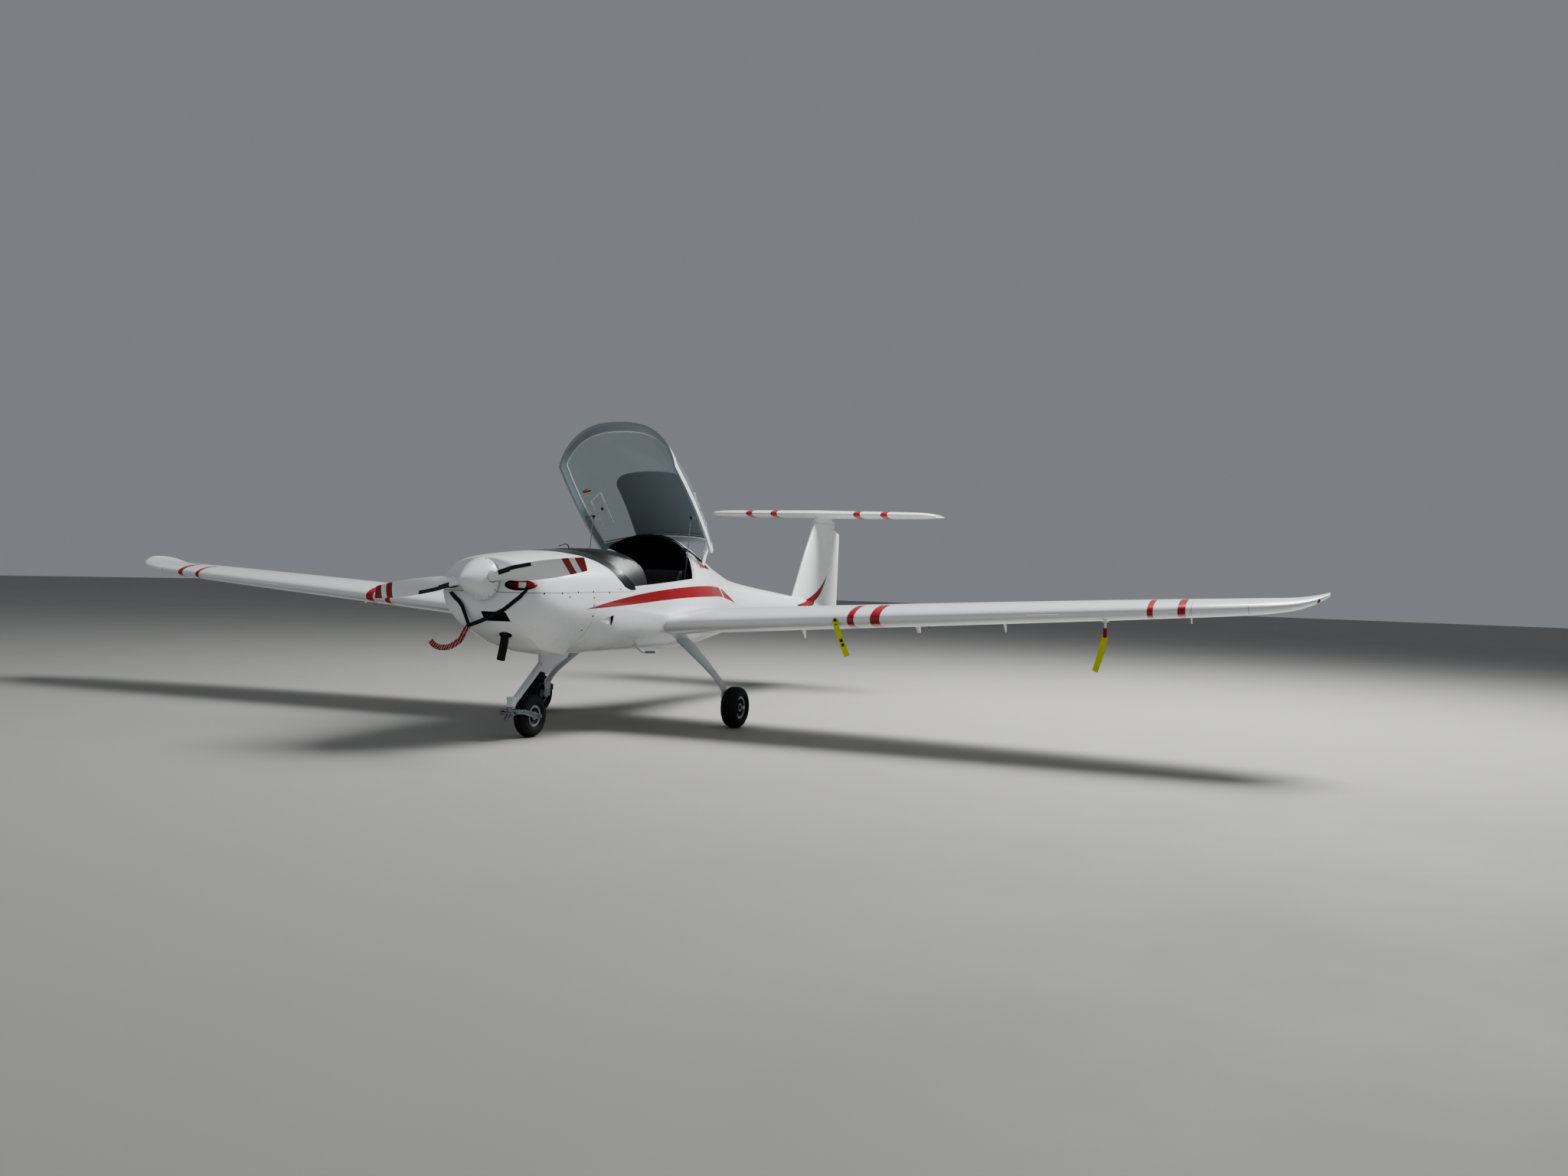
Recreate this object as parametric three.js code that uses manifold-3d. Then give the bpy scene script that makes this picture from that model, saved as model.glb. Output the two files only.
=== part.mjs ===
// Two-seat light aircraft: low wing, T-tail, castering nose wheel, rear-hinged clear canopy held open.
// Millimetres. +X is the nose, +Y the aircraft's left, +Z up; z = 0 is the ground under the tyres.
import * as THREE from "three";
import { mergeVertices } from "three/addons/utils/BufferGeometryUtils.js";
import Module from "manifold-3d";

const wasm = await Module();
wasm.setup();

// Driving dimensions
const length = 7200; // spinner tip to the rudder's trailing edge
const nose = length / 2; // X of the spinner tip; a station s is counted aft from it
const gap = 0.3; // between pieces that touch
const clear = 6; // between pieces that move past each other
const propAxisZ = 1163;
const propStation = 200;
const bladeTurn = 8; // degrees, aircraft's left blade up
const spinnerRadius = 150;
const spinnerLength = 258;
const shellWall = 8;
const cabinWall = 24;
const track = 1900;
const mainAxleStation = 2450;
const mainTyreRadius = 166;
const mainTyreWidth = 138;
const noseAxleStation = 905;
const noseTyreRadius = 157;
const noseTyreWidth = 118;
const casterStation = 655;
const canopyAngle = 47.5; // degrees open from shut
const canopyHinge = { s: 2842, z: 948 };
const strutFoot = { s: 2380, y: 470, z: 1020 };
const strutEyeShut = { s: 2053, z: 1215 };
const strutTubeLength = 358;
const strutTubeRadius = 9;
const strutRodRadius = 4.5;

const X = (s) => nose - s;
const rad = THREE.MathUtils.degToRad;

// Materials
const finish = (color, roughness, metalness) =>
  new THREE.MeshStandardMaterial({ color, roughness, metalness });
const gelcoat = finish(0xf2f4f5, 0.22, 0);
const greyPaint = finish(0xb4bcc4, 0.35, 0);
const blackPaint = finish(0x15171a, 0.5, 0);
const redCover = finish(0x9c1420, 0.6, 0);
const yellowCloth = finish(0xd6dd20, 0.6, 0);
const leather = finish(0x23242a, 0.6, 0);
const clearAcrylic = new THREE.MeshStandardMaterial({
  color: 0xcfd8dc,
  roughness: 0.05,
  metalness: 0,
  transparent: true,
  opacity: 0.35,
});
const alloy = finish(0xb8bcc0, 0.4, 0.9);
const rubber = finish(0x1d1d1f, 0.85, 0);
const castMetal = finish(0x55595d, 0.6, 0.7);
const steel = finish(0x9aa0a5, 0.3, 1);

// Solids
function solid(geometry) {
  const g = geometry.clone();
  g.deleteAttribute("normal");
  g.deleteAttribute("uv");
  const m = mergeVertices(g, 1e-3);
  return new wasm.Manifold(
    new wasm.Mesh({
      numProp: 3,
      vertProperties: new Float32Array(m.attributes.position.array),
      triVerts: new Uint32Array(m.index.array),
    }),
  );
}

// A closed skin over rings of the same number of points, with flat ends; turned outward if need be.
function loft(rings) {
  const n = rings[0].length;
  const points = [];
  rings.forEach((ring) => ring.forEach((p) => points.push(...p)));
  const faces = [];
  for (let i = 0; i < rings.length - 1; i++)
    for (let j = 0; j < n; j++) {
      const a = i * n + j;
      const b = i * n + ((j + 1) % n);
      faces.push(a, b, b + n, a, b + n, a + n);
    }
  const cap = (ring, base, flip) => {
    const c = points.length / 3;
    const mid = [0, 1, 2].map((k) => ring.reduce((t, p) => t + p[k], 0) / n);
    points.push(...mid);
    for (let j = 0; j < n; j++) {
      const a = base + j;
      const b = base + ((j + 1) % n);
      faces.push(...(flip ? [c, b, a] : [c, a, b]));
    }
  };
  cap(rings[0], 0, true);
  cap(rings[rings.length - 1], (rings.length - 1) * n, false);
  const make = (index) => {
    const g = new THREE.BufferGeometry();
    g.setAttribute("position", new THREE.Float32BufferAttribute(points, 3));
    g.setIndex(index);
    return g;
  };
  const first = signedVolume(points, faces);
  const turned = [];
  for (let i = 0; i < faces.length; i += 3) turned.push(faces[i], faces[i + 2], faces[i + 1]);
  return solid(make(first > 0 ? faces : turned));
}

function signedVolume(points, faces) {
  let total = 0;
  for (let i = 0; i < faces.length; i += 3) {
    const [a, b, c] = [0, 1, 2].map((k) => {
      const q = faces[i + k] * 3;
      return new THREE.Vector3(points[q], points[q + 1], points[q + 2]);
    });
    total += a.dot(b.cross(c));
  }
  return total;
}

const place = (m, x, y, z) => m.translate([x, y, z]);

function box(cx, cy, cz, dx, dy, dz) {
  return place(solid(new THREE.BoxGeometry(dx, dy, dz)), cx, cy, cz);
}

// A round bar or cone from point a to point b.
function rod(a, b, ra, rb = ra, sides = 16) {
  const from = new THREE.Vector3(...a);
  const to = new THREE.Vector3(...b);
  const along = to.clone().sub(from);
  const g = new THREE.CylinderGeometry(rb, ra, along.length(), sides);
  const q = new THREE.Quaternion().setFromUnitVectors(
    new THREE.Vector3(0, 1, 0),
    along.clone().normalize(),
  );
  g.applyQuaternion(q);
  const mid = from.add(to).multiplyScalar(0.5);
  g.translate(mid.x, mid.y, mid.z);
  return solid(g);
}

// A flat strip of cloth or webbing along a path; across gives the direction of its width at each point.
function ribbon(path, across, width, thick) {
  const points = path.map((p) => new THREE.Vector3(...p));
  return loft(
    points.map((p, i) => {
      const ahead = points[Math.min(i + 1, points.length - 1)].clone();
      ahead.sub(points[Math.max(i - 1, 0)]).normalize();
      const side = new THREE.Vector3(...across[Math.min(i, across.length - 1)]);
      side.addScaledVector(ahead, -side.dot(ahead)).normalize();
      const face = new THREE.Vector3().crossVectors(ahead, side);
      return [
        [1, 1],
        [-1, 1],
        [-1, -1],
        [1, -1],
      ].map(([a, b]) =>
        p
          .clone()
          .addScaledVector(side, (a * width) / 2)
          .addScaledVector(face, (b * thick) / 2)
          .toArray(),
      );
    }),
  );
}

// A turned body: profile points are [radius, distance along the axis]; axis is "x" or "y".
function turned(profile, sides, axis, at) {
  const g = new THREE.LatheGeometry(
    profile.map(([r, d]) => new THREE.Vector2(r, d)),
    sides,
  );
  if (axis === "x") g.rotateZ(-Math.PI / 2);
  let m = solid(g);
  if (m.volume() < 0) {
    const turnedBack = new THREE.LatheGeometry(
      [...profile].reverse().map(([r, d]) => new THREE.Vector2(r, d)),
      sides,
    );
    if (axis === "x") turnedBack.rotateZ(-Math.PI / 2);
    m = solid(turnedBack);
  }
  return place(m, ...at);
}

// A prism: outline points in the X-Z plane, extruded across the aircraft from y0 to y1.
function sideOutline(points, y0, y1) {
  const shape = new THREE.Shape(points.map(([x, z]) => new THREE.Vector2(x, z)));
  const g = new THREE.ExtrudeGeometry(shape, { depth: y1 - y0, bevelEnabled: false });
  g.rotateX(Math.PI / 2); // (x, z, depth) becomes (x, -depth, z)
  g.translate(0, y1, 0);
  return solid(g);
}

// The outline with each side moved inward by its own distance; sides[i] runs from point i to the next.
function insetOutline(points, sides) {
  const n = points.length;
  const area = points.reduce((t, [x, z], i) => {
    const [u, w] = points[(i + 1) % n];
    return t + x * w - u * z;
  }, 0);
  const turn = Math.sign(area);
  const lines = points.map(([x, z], i) => {
    const [u, w] = points[(i + 1) % n];
    const run = Math.hypot(u - x, w - z);
    const [dx, dz] = [(u - x) / run, (w - z) / run];
    return { x: x - turn * dz * sides[i], z: z + turn * dx * sides[i], dx, dz };
  });
  return lines.map((b, i) => {
    const a = lines[(i + n - 1) % n];
    const cross = a.dx * b.dz - a.dz * b.dx;
    const t = ((b.x - a.x) * b.dz - (b.z - a.z) * b.dx) / cross;
    return [a.x + t * a.dx, a.z + t * a.dz];
  });
}

// A prism: outline points in the X-Y plane, extruded upward from z0 to z1.
function planOutline(points, z0, z1) {
  const shape = new THREE.Shape(points.map(([x, y]) => new THREE.Vector2(x, y)));
  const g = new THREE.ExtrudeGeometry(shape, { depth: z1 - z0, bevelEnabled: false });
  g.translate(0, 0, z0);
  return solid(g);
}

const mirror = (m) => m.mirror([0, 1, 0]);

const root = new THREE.Group();

function add(name, body, material) {
  const mesh = body.getMesh();
  const g = new THREE.BufferGeometry();
  g.setAttribute("position", new THREE.BufferAttribute(mesh.vertProperties.slice(), 3));
  g.setIndex(new THREE.BufferAttribute(mesh.triVerts.slice(), 1));
  g.computeVertexNormals();
  const piece = new THREE.Mesh(g, material);
  piece.name = name;
  root.add(piece);
}

// Hull sections: station, bottom, top, half width, height of the widest line, squareness above and below.
const hullColumns = ["s", "bottom", "top", "half", "wide", "above", "below"];
const hullTable = [
  [264, 985, 1306, 175, 1140, 2.0, 2.0],
  [274, 925, 1316, 260, 1120, 2.1, 2.0],
  [300, 862, 1323, 335, 1105, 2.2, 2.0],
  [360, 795, 1331, 402, 1080, 2.3, 2.0],
  [477, 731, 1344, 440, 1050, 2.4, 1.95],
  [620, 668, 1357, 463, 1020, 2.5, 1.9],
  [800, 626, 1371, 487, 1000, 2.6, 1.85],
  [1040, 613, 1387, 515, 990, 2.6, 2.0],
  [1270, 610, 1408, 541, 985, 2.5, 2.6],
  [1500, 608, 1490, 562, 985, 2.4, 2.7],
  [1720, 607, 1552, 577, 985, 2.35, 2.7],
  [1960, 605, 1590, 584, 985, 2.3, 2.7],
  [2200, 602, 1599, 580, 985, 2.3, 2.6],
  [2440, 598, 1592, 564, 985, 2.3, 2.5],
  [2650, 592, 1572, 536, 985, 2.25, 2.4],
  [2900, 592, 1520, 486, 985, 2.2, 2.3],
  [3200, 604, 1440, 412, 980, 2.1, 2.2],
  [3600, 640, 1324, 318, 972, 2.0, 2.1],
  [4100, 698, 1198, 232, 955, 2.0, 2.0],
  [4700, 748, 1130, 180, 945, 2.0, 2.0],
  [5390, 788, 1072, 142, 932, 2.0, 2.0],
  [6100, 822, 1010, 108, 918, 2.0, 2.0],
  [6760, 848, 960, 72, 905, 2.0, 2.0],
];
const hullSections = hullTable.map((row) =>
  Object.fromEntries(hullColumns.map((name, i) => [name, row[i]])),
);
const ringPoints = 32;

function hullRing(q, inset = 0) {
  const ring = [];
  for (let i = 0; i < ringPoints; i++) {
    const t = (2 * Math.PI * i) / ringPoints;
    const c = Math.cos(t);
    const v = Math.sin(t);
    const power = 2 / (v >= 0 ? q.above : q.below);
    const y = (q.half - inset) * Math.sign(c) * Math.abs(c) ** power;
    const rise = v >= 0 ? q.top - inset - q.wide : q.wide - q.bottom - inset;
    ring.push([X(q.s), y, q.wide + rise * Math.sign(v) * Math.abs(v) ** power]);
  }
  return ring;
}

// The section at any station, between the two nearest rows.
function sectionAt(s, sections = hullSections) {
  let i = sections.findIndex((q) => q.s >= s);
  if (i < 1) i = i === 0 ? 1 : sections.length - 1;
  const [a, b] = [sections[i - 1], sections[i]];
  const t = (s - a.s) / (b.s - a.s);
  return Object.fromEntries(hullColumns.map((k) => [k, a[k] + t * (b[k] - a[k])]));
}

function hull(inset, from, to, sections = hullSections) {
  const inside = sections.filter((q) => q.s > from + 1 && q.s < to - 1);
  const rows = [sectionAt(from, sections), ...inside, sectionAt(to, sections)];
  return loft(rows.map((q) => hullRing(q, inset)));
}

const hullStart = hullSections[0].s;
const hullEnd = hullSections[hullSections.length - 1].s;
const big = 4000;

// Cutting solids, each the whole space on one side of a panel joint, as side outlines.
const splitZ = (s) => 1074 + 0.016 * (s - 223); // cowl halves meet on this line
// The top cowl's rear edge, from the split line up and forward: station and height
const cowlRearEdge = [
  [1432, splitZ(1432)],
  [1326, 1127],
  [1269, 1192],
  [1213, 1262],
  [1141, 1311],
  [1070, 1347],
  [932, 1380],
  [800, 1400],
];
const sillFront = { s: 1460, z: 1132 };
const sillRear = { s: 2440, z: 1200 };
const sillSlope = (sillRear.z - sillFront.z) / (sillRear.s - sillFront.s);
const sillAt = (s) => sillFront.z + sillSlope * (s - sillFront.s);
const archFrontLean = 1.0; // the canopy's front edge: millimetres of height for each millimetre forward
const archRearLean = 0.56; // the fixed arch: millimetres aft for each millimetre of height
const topZ = 2300;
const lowerCowlEnd = 955;
const firewallStation = 967;
const innerStart = firewallStation + 12; // the cabin's inside begins here
const deckFront = 900; // the deck runs forward over the firewall to the top cowl
const aftBulkhead = 3300;

// The space that the shut canopy fills, with every edge moved inward by m.
function canopySpace(m, rear = m) {
  const rise = topZ - sillFront.z;
  const outline = [
    [X(sillFront.s), sillFront.z],
    [X(sillFront.s - rise / archFrontLean), topZ],
    [X(sillRear.s + (topZ - sillRear.z) * archRearLean), topZ],
    [X(sillRear.s), sillRear.z],
  ];
  return sideOutline(insetOutline(outline, [m, 0, rear, m]), -big, big);
}

function upperCowlSpace(m) {
  const edge = cowlRearEdge.map(([s, z]) => [X(s), z]);
  const outline = [[X(0), splitZ(0)], ...edge, [X(0), cowlRearEdge[cowlRearEdge.length - 1][1]]];
  const inward = [m, ...cowlRearEdge.slice(1).map(() => m), 0, 0];
  return sideOutline(insetOutline(outline, inward), -big, big);
}

const stationSlab = (from, to) =>
  box(X((from + to) / 2), 0, topZ / 2, to - from, 2 * big, 2 * topZ);

// Cowling halves
const hullSolid = hull(0, hullStart, hullEnd);
const cowlInner = hull(shellWall, hullStart + shellWall, 1700);
const cowlShell = hullSolid.intersect(stationSlab(0, 1690)).subtract(cowlInner);

// The outlet box under the engine, on the left only: station, its upper corner (y, z), lower corner
// (y, z), height amidships
const keelTable = [
  [318, 228, 906, 226, 896, 847],
  [359, 281, 880, 243, 862, 796],
  [419, 299, 855, 245, 815, 764],
  [480, 318, 832, 246, 768, 729],
  [561, 329, 806, 247, 720, 692],
  [644, 334, 781, 248, 671, 659],
  [718, 334, 760, 249, 655, 642],
  [793, 336, 745, 250, 640, 626],
  [880, 335, 728, 250, 626, 617],
  [lowerCowlEnd, 320, 718, 250, 613, 607],
];
function keelRing([s, yHigh, zHigh, yLow, zLow, zMiddle], inset = 0) {
  const corners = [
    [yHigh - 1.5 * inset, zHigh + inset],
    [yLow - inset, zLow + inset],
    [yLow * 0.6, zMiddle + 0.3 * (zLow - zMiddle) + inset],
    [0, zMiddle + inset],
    [0, zHigh + inset],
  ];
  return corners.map(([y, z]) => [X(s), y, z]);
}
const keelBox = loft(keelTable.map((row) => keelRing(row)));
const keelInside = loft(keelTable.slice(1).map((row) => keelRing(row, shellWall)));
const keelShell = keelBox.subtract(keelInside).subtract(cowlInner);
const spinnerHole = rod([X(200), 0, propAxisZ], [X(300), 0, propAxisZ], 70, 70, 24);
const inletAt = { y: 287, z: 1128, ry: 107, rz: 38 };

// An oval bar along X at one of the two cheek inlets.
function inletOval(side, grow, s0, s1) {
  const g = new THREE.CylinderGeometry(1, 1, 1, 24);
  g.rotateZ(Math.PI / 2);
  g.scale(s1 - s0, inletAt.ry + grow, inletAt.rz + grow);
  return place(solid(g), X((s0 + s1) / 2), side * inletAt.y, inletAt.z);
}
const inlets = inletOval(1, 0, 100, 420).add(inletOval(-1, 0, 100, 420));

// The chin inlet is a slot left of the middle; the exhaust leaves through an opening behind it.
const chinInlet = { rear: 420, low: 871, high: 937, lowRight: 12, lowLeft: 203, highRight: -12, highLeft: 186 };
const chinSlot = loft(
  [100, chinInlet.rear].map((s) => [
    [X(s), chinInlet.highLeft, chinInlet.high],
    [X(s), chinInlet.highRight, chinInlet.high],
    [X(s), chinInlet.lowRight, chinInlet.low],
    [X(s), chinInlet.lowLeft, chinInlet.low],
  ]),
);
const exhaustHole = rod([X(430), 100, 820], [X(380), 100, 640], 45, 45, 16);

const upperCowl = cowlShell
  .intersect(upperCowlSpace(gap / 2))
  .subtract(spinnerHole)
  .subtract(inlets);
add("upper_cowl", upperCowl, gelcoat);

const lowerCowlSpace = sideOutline(
  [
    [X(0), splitZ(0) - gap / 2],
    [X(0), 300],
    [X(lowerCowlEnd - gap), 300],
    [X(lowerCowlEnd - gap), splitZ(lowerCowlEnd) - gap / 2],
  ],
  -big,
  big,
);
const lowerCowl = cowlShell
  .subtract(keelInside)
  .add(keelShell)
  .intersect(lowerCowlSpace)
  .subtract(spinnerHole)
  .subtract(inlets)
  .subtract(chinSlot)
  .subtract(exhaustHole);
add("lower_cowl", lowerCowl, gelcoat);

// Inlet plugs fill the cheek inlets and stand a little proud
const plugFront = 318;
for (const [side, word] of [
  [1, "left"],
  [-1, "right"],
]) {
  const plug = inletOval(side, -gap - 0.3, plugFront, 410);
  add("inlet_plug_" + word, plug, redCover);
}

// Engine as one plain block, with its shaft nose behind the spinner
const engineRear = 870;
const engineLength = 430;
const mountRear = lowerCowlEnd - gap;
const engine = box(X(engineRear - engineLength / 2), 0, 1085, engineLength, 560, 300)
  .add(rod([X(446), 0, propAxisZ], [X(spinnerLength + gap), 0, propAxisZ], 58, 58, 20))
  .add(box(X((engineRear - 10 + mountRear) / 2), 0, 1085, mountRear - engineRear + 10, 240, 160));
add("engine_block", engine, castMetal);

const exhaust = rod([X(419), 100, 936], [X(405), 100, 720], 29, 29, 16)
  .add(rod([X(405), 100, 726], [X(366), 100, 597], 29, 29, 16))
  .subtract(rod([X(397), 100, 700], [X(360), 100, 577], 25, 25, 16));
add("exhaust_pipe", exhaust, blackPaint);

// Fuselage: one hollow shell from the firewall to the bulkhead behind the cabin
const deck = cowlShell.intersect(stationSlab(deckFront, lowerCowlEnd + 30)).subtract(upperCowlSpace(0));
const deckFoot = box(X(deckFront), 0, 0, 400, 2000, 2 * 1250); // the deck has no part below this height
const cabinOuter = hullSolid
  .intersect(stationSlab(lowerCowlEnd, aftBulkhead))
  .add(deck.subtract(deckFoot));
const cabinInner = hull(cabinWall, innerStart, aftBulkhead - 20);
const armY = 372; // the canopy's two hinge arms, inside the cabin behind the seats
const canopyArmSlots = [1, -1]
  .map((side) => box(X(2770), side * armY, 1440, 460, 44, 400))
  .reduce((a, b) => a.add(b));
const ductAt = { front: 1043, rear: 1180, z: 879, half: 37, depth: 12 };
const airDuct = [1, -1]
  .map((side) =>
    sideOutline(
      [
        [X(ductAt.front), ductAt.z],
        [X(ductAt.rear), ductAt.z - ductAt.half],
        [X(ductAt.rear), ductAt.z + ductAt.half],
      ],
      side > 0 ? 300 : -700,
      side > 0 ? 700 : -300,
    ),
  )
  .reduce((a, b) => a.add(b))
  .subtract(hull(ductAt.depth, hullStart + ductAt.depth, 1700));
// A shallow rebate round the fixed arch lets the canopy's edge swing past it
const archRebate = canopySpace(0, -18).subtract(hull(9, lowerCowlEnd, aftBulkhead));
let fuselage = cabinOuter
  .subtract(cabinInner)
  .subtract(canopySpace(0))
  .subtract(archRebate)
  .subtract(upperCowlSpace(0))
  .subtract(canopyArmSlots);

// Wing: sections from the root out. Columns: y, leading-edge station, chord, leading-edge z, thickness ratio
const wingTable = [
  [330, 1905, 1330, 806, 0.165],
  [560, 1916, 1300, 832, 0.16],
  [1200, 1932, 1240, 876, 0.155],
  [2900, 1975, 1110, 988, 0.15],
  [4380, 2010, 930, 1085, 0.145],
  [5000, 2040, 800, 1128, 0.14],
  [5210, 2100, 690, 1152, 0.13],
  [5350, 2200, 540, 1190, 0.11],
  [5435, 2340, 330, 1232, 0.09],
];
const edgeThickness = 5;
const wingCamber = 0.02;
const foilSteps = 7;

// A rounded aerofoil outline: [along the chord 0..1, height as a share of the thickness]
function foil(camber) {
  const upper = [];
  for (let i = 0; i <= foilSteps; i++) {
    const t = (1 - Math.cos((Math.PI * i) / foilSteps)) / 2;
    const half =
      5 *
      (0.2969 * Math.sqrt(t) - 0.126 * t - 0.3516 * t * t + 0.2843 * t ** 3 - 0.1015 * t ** 4);
    const mean = camber * 4 * t * (1 - t);
    upper.push([t, half, mean]);
  }
  return upper;
}

function wingRing([y, s, chord, z, ratio]) {
  const half = foil(wingCamber);
  const point = ([t, h, m], side) => {
    const least = (edgeThickness / 2) * t;
    const rise = side * Math.max(h * ratio * chord, least) + m * chord;
    return [X(s + t * chord), y, z + rise];
  };
  const top = half.map((q) => point(q, 1));
  const low = half.slice(1).reverse().map((q) => point(q, -1));
  return [...top, ...low];
}
const wingBlank = loft(wingTable.map(wingRing));

const hingePinRadius = 5;
const pinRoot = 12; // how far a hinge pin is sunk in the fixed part

// Splits a surface at its hinge line: a leading part with a round cove, a trailing part with a round nose.
function hingeSplit(body, a, b, radii, endPins = true) {
  const from = new THREE.Vector3(...a);
  const to = new THREE.Vector3(...b);
  const along = to.clone().sub(from);
  const run = along.length();
  along.normalize();
  const aft = new THREE.Vector3(-1, 0, 0);
  aft.addScaledVector(along, -aft.dot(along)).normalize();
  const up = new THREE.Vector3().crossVectors(along, aft);
  const block = (start, end, offset) => {
    const depth = 900;
    const g = new THREE.BoxGeometry(end - start, depth, 900);
    g.translate((start + end) / 2, offset + depth / 2, 0);
    const m = new THREE.Matrix4().makeBasis(along, aft, up).setPosition(from);
    g.applyMatrix4(m);
    return solid(g);
  };
  const at = (d) => from.clone().addScaledVector(along, d).toArray();
  const last = radii.length - 1;
  const radius = (d) => {
    const k = Math.min(last - 1, Math.max(0, Math.floor((d / run) * last)));
    return radii[k] + (radii[k + 1] - radii[k]) * ((d / run) * last - k);
  };
  const roundBar = (start, end, grow, sides) => {
    const stops = [start];
    for (let k = 1; k < last; k++) stops.push((run * k) / last);
    stops.push(end);
    const bars = stops
      .slice(1)
      .map((d, i) => rod(at(stops[i]), at(d), radius(stops[i]) + grow, radius(d) + grow, sides));
    return bars.reduce((m, q) => m.add(q));
  };
  const nosePiece = roundBar(0, run, 0, 20);
  const cove = roundBar(-clear, run + clear, clear, 24);
  let fixed = body.subtract(block(-clear, run + clear, 0)).subtract(cove);
  if (endPins)
    for (const [d0, d1] of [
      [-clear - pinRoot, -gap],
      [run + gap, run + clear + pinRoot],
    ])
      fixed = fixed.add(rod(at(d0), at(d1), hingePinRadius, hingePinRadius, 10));
  return { fixed, moving: body.intersect(block(0, run, 0)).add(nosePiece) };
}

// A point on the wing's hinge line at span y: share of the chord, and the local half thickness
function wingHinge(y, share) {
  let i = wingTable.findIndex((row) => row[0] >= y);
  i = Math.max(1, i);
  const [a, b] = [wingTable[i - 1], wingTable[i]];
  const t = (y - a[0]) / (b[0] - a[0]);
  const [, s, chord, z, ratio] = a.map((v, k) => v + t * (b[k] - v));
  const ring = foil(wingCamber);
  const k = ring.findIndex(([x]) => x >= share);
  const [p, q] = [ring[k - 1], ring[k]];
  const u = (share - p[0]) / (q[0] - p[0]);
  const half = (p[1] + u * (q[1] - p[1])) * ratio * chord;
  const mean = (p[2] + u * (q[2] - p[2])) * chord;
  return { at: [X(s + share * chord), y, z + mean], half };
}

const hingeShare = 0.74;
const flapSpan = [640, 2880];
const aileronSpan = [2960, 4960];
function splitAt(body, [y0, y1]) {
  const a = wingHinge(y0, hingeShare);
  const b = wingHinge(y1, hingeShare);
  return hingeSplit(body, a.at, b.at, [a.half * 0.99, b.half * 0.99]);
}
const flapCut = splitAt(wingBlank, flapSpan);
const aileronCut = splitAt(flapCut.fixed, aileronSpan);
const hullKeepOut = hull(-gap, hullStart, hullEnd);
// Air probe under the left wing
const probeY = 3930;
const probeRoot = wingHinge(probeY, 0.36);
const probeX = probeRoot.at[0];
const probeTip = 892;
const probeRadius = 9;
const probe = rod(
  [probeX, probeY, probeRoot.at[2] - 30],
  [probeX, probeY, probeTip],
  probeRadius,
  probeRadius,
  12,
);
const wingOuter = aileronCut.fixed.subtract(hullKeepOut);
const wingGrown = wingBlank.translate([gap, 0, 0]).add(wingBlank);
const largest = (m) =>
  m.decompose().reduce((a, b) => (Math.abs(a.volume()) > Math.abs(b.volume()) ? a : b));
add("wing_left", largest(wingOuter).add(probe), gelcoat);
add("wing_right", largest(mirror(aileronCut.fixed).subtract(hullKeepOut)), gelcoat);
add("flap_left", flapCut.moving, gelcoat);
add("flap_right", mirror(flapCut.moving), gelcoat);
add("aileron_left", aileronCut.moving, gelcoat);
add("aileron_right", mirror(aileronCut.moving), gelcoat);

// Tail cone: a tube from the bulkhead to the tail, open at its front
const tailWall = 11;
const tailCone = hullSolid
  .intersect(stationSlab(aftBulkhead + gap, hullEnd + 100))
  .subtract(hull(tailWall, aftBulkhead - 50, 6560));
const skid = sideOutline(
  [
    [X(6500), 850],
    [X(6760), 850],
    [X(6745), 735],
    [X(6700), 720],
    [X(6640), 735],
  ],
  -9,
  9,
);

// Fin: z, leading-edge station, trailing-edge station, thickness
const finTable = [
  [900, 5560, 7176, 92],
  [985, 5800, 7178, 104],
  [1120, 5905, 7182, 106],
  [1500, 6165, 7192, 104],
  [1830, 6420, 7202.7, 100],
  [1935, 6490, 7206.4, 97.7],
];
function finRing([z, le, te, thick]) {
  const half = foil(0);
  const chord = te - le;
  const p = ([t, h], side) => [
    X(le + t * chord),
    side * Math.max(h * thick, (edgeThickness / 2) * t),
    z,
  ];
  return [
    ...half.map((q) => p(q, 1)),
    ...half
      .slice(1)
      .reverse()
      .map((q) => p(q, -1)),
  ];
}
const finBlank = loft(finTable.map(finRing));
const rudderHinge = { low: [X(6868), 0, 885], high: [X(6925), 0, 1800] };
const finCut = hingeSplit(finBlank, rudderHinge.low, rudderHinge.high, [33, 33], false);

// Stabiliser: y, leading-edge station, chord, z, thickness ratio
const stabZ = 1948;
const stabTable = [
  [0, 6395, 700, stabZ, 0.13],
  [300, 6410, 685, stabZ, 0.125],
  [1150, 6462, 590, stabZ, 0.12],
  [1270, 6500, 500, stabZ, 0.11],
  [1340, 6580, 370, stabZ, 0.09],
];
const stabRing = ([y, s, chord, z, ratio], grow = 0) => {
  const half = foil(0);
  const p = ([t, h], side) => [
    X(s + t * chord),
    y,
    z + side * (Math.max(h * ratio * chord, (edgeThickness / 2) * t) + grow),
  ];
  return [
    ...half.map((q) => p(q, 1)),
    ...half
      .slice(1)
      .reverse()
      .map((q) => p(q, -1)),
  ];
};
const stabRows = [...stabTable.slice(1).map(([y, ...rest]) => [-y, ...rest]).reverse(), ...stabTable];
const stabBlank = loft(stabRows.map((row) => stabRing(row)));
const stabSeat = loft(stabRows.map((row) => stabRing(row, gap)));
const elevatorHinge = { s: 6900, half: 1120, middle: 26.2, tip: 19 };
const stabCut = hingeSplit(
  stabBlank,
  [X(elevatorHinge.s), -elevatorHinge.half, stabZ],
  [X(elevatorHinge.s), elevatorHinge.half, stabZ],
  [elevatorHinge.tip, elevatorHinge.middle, elevatorHinge.tip],
);

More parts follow.
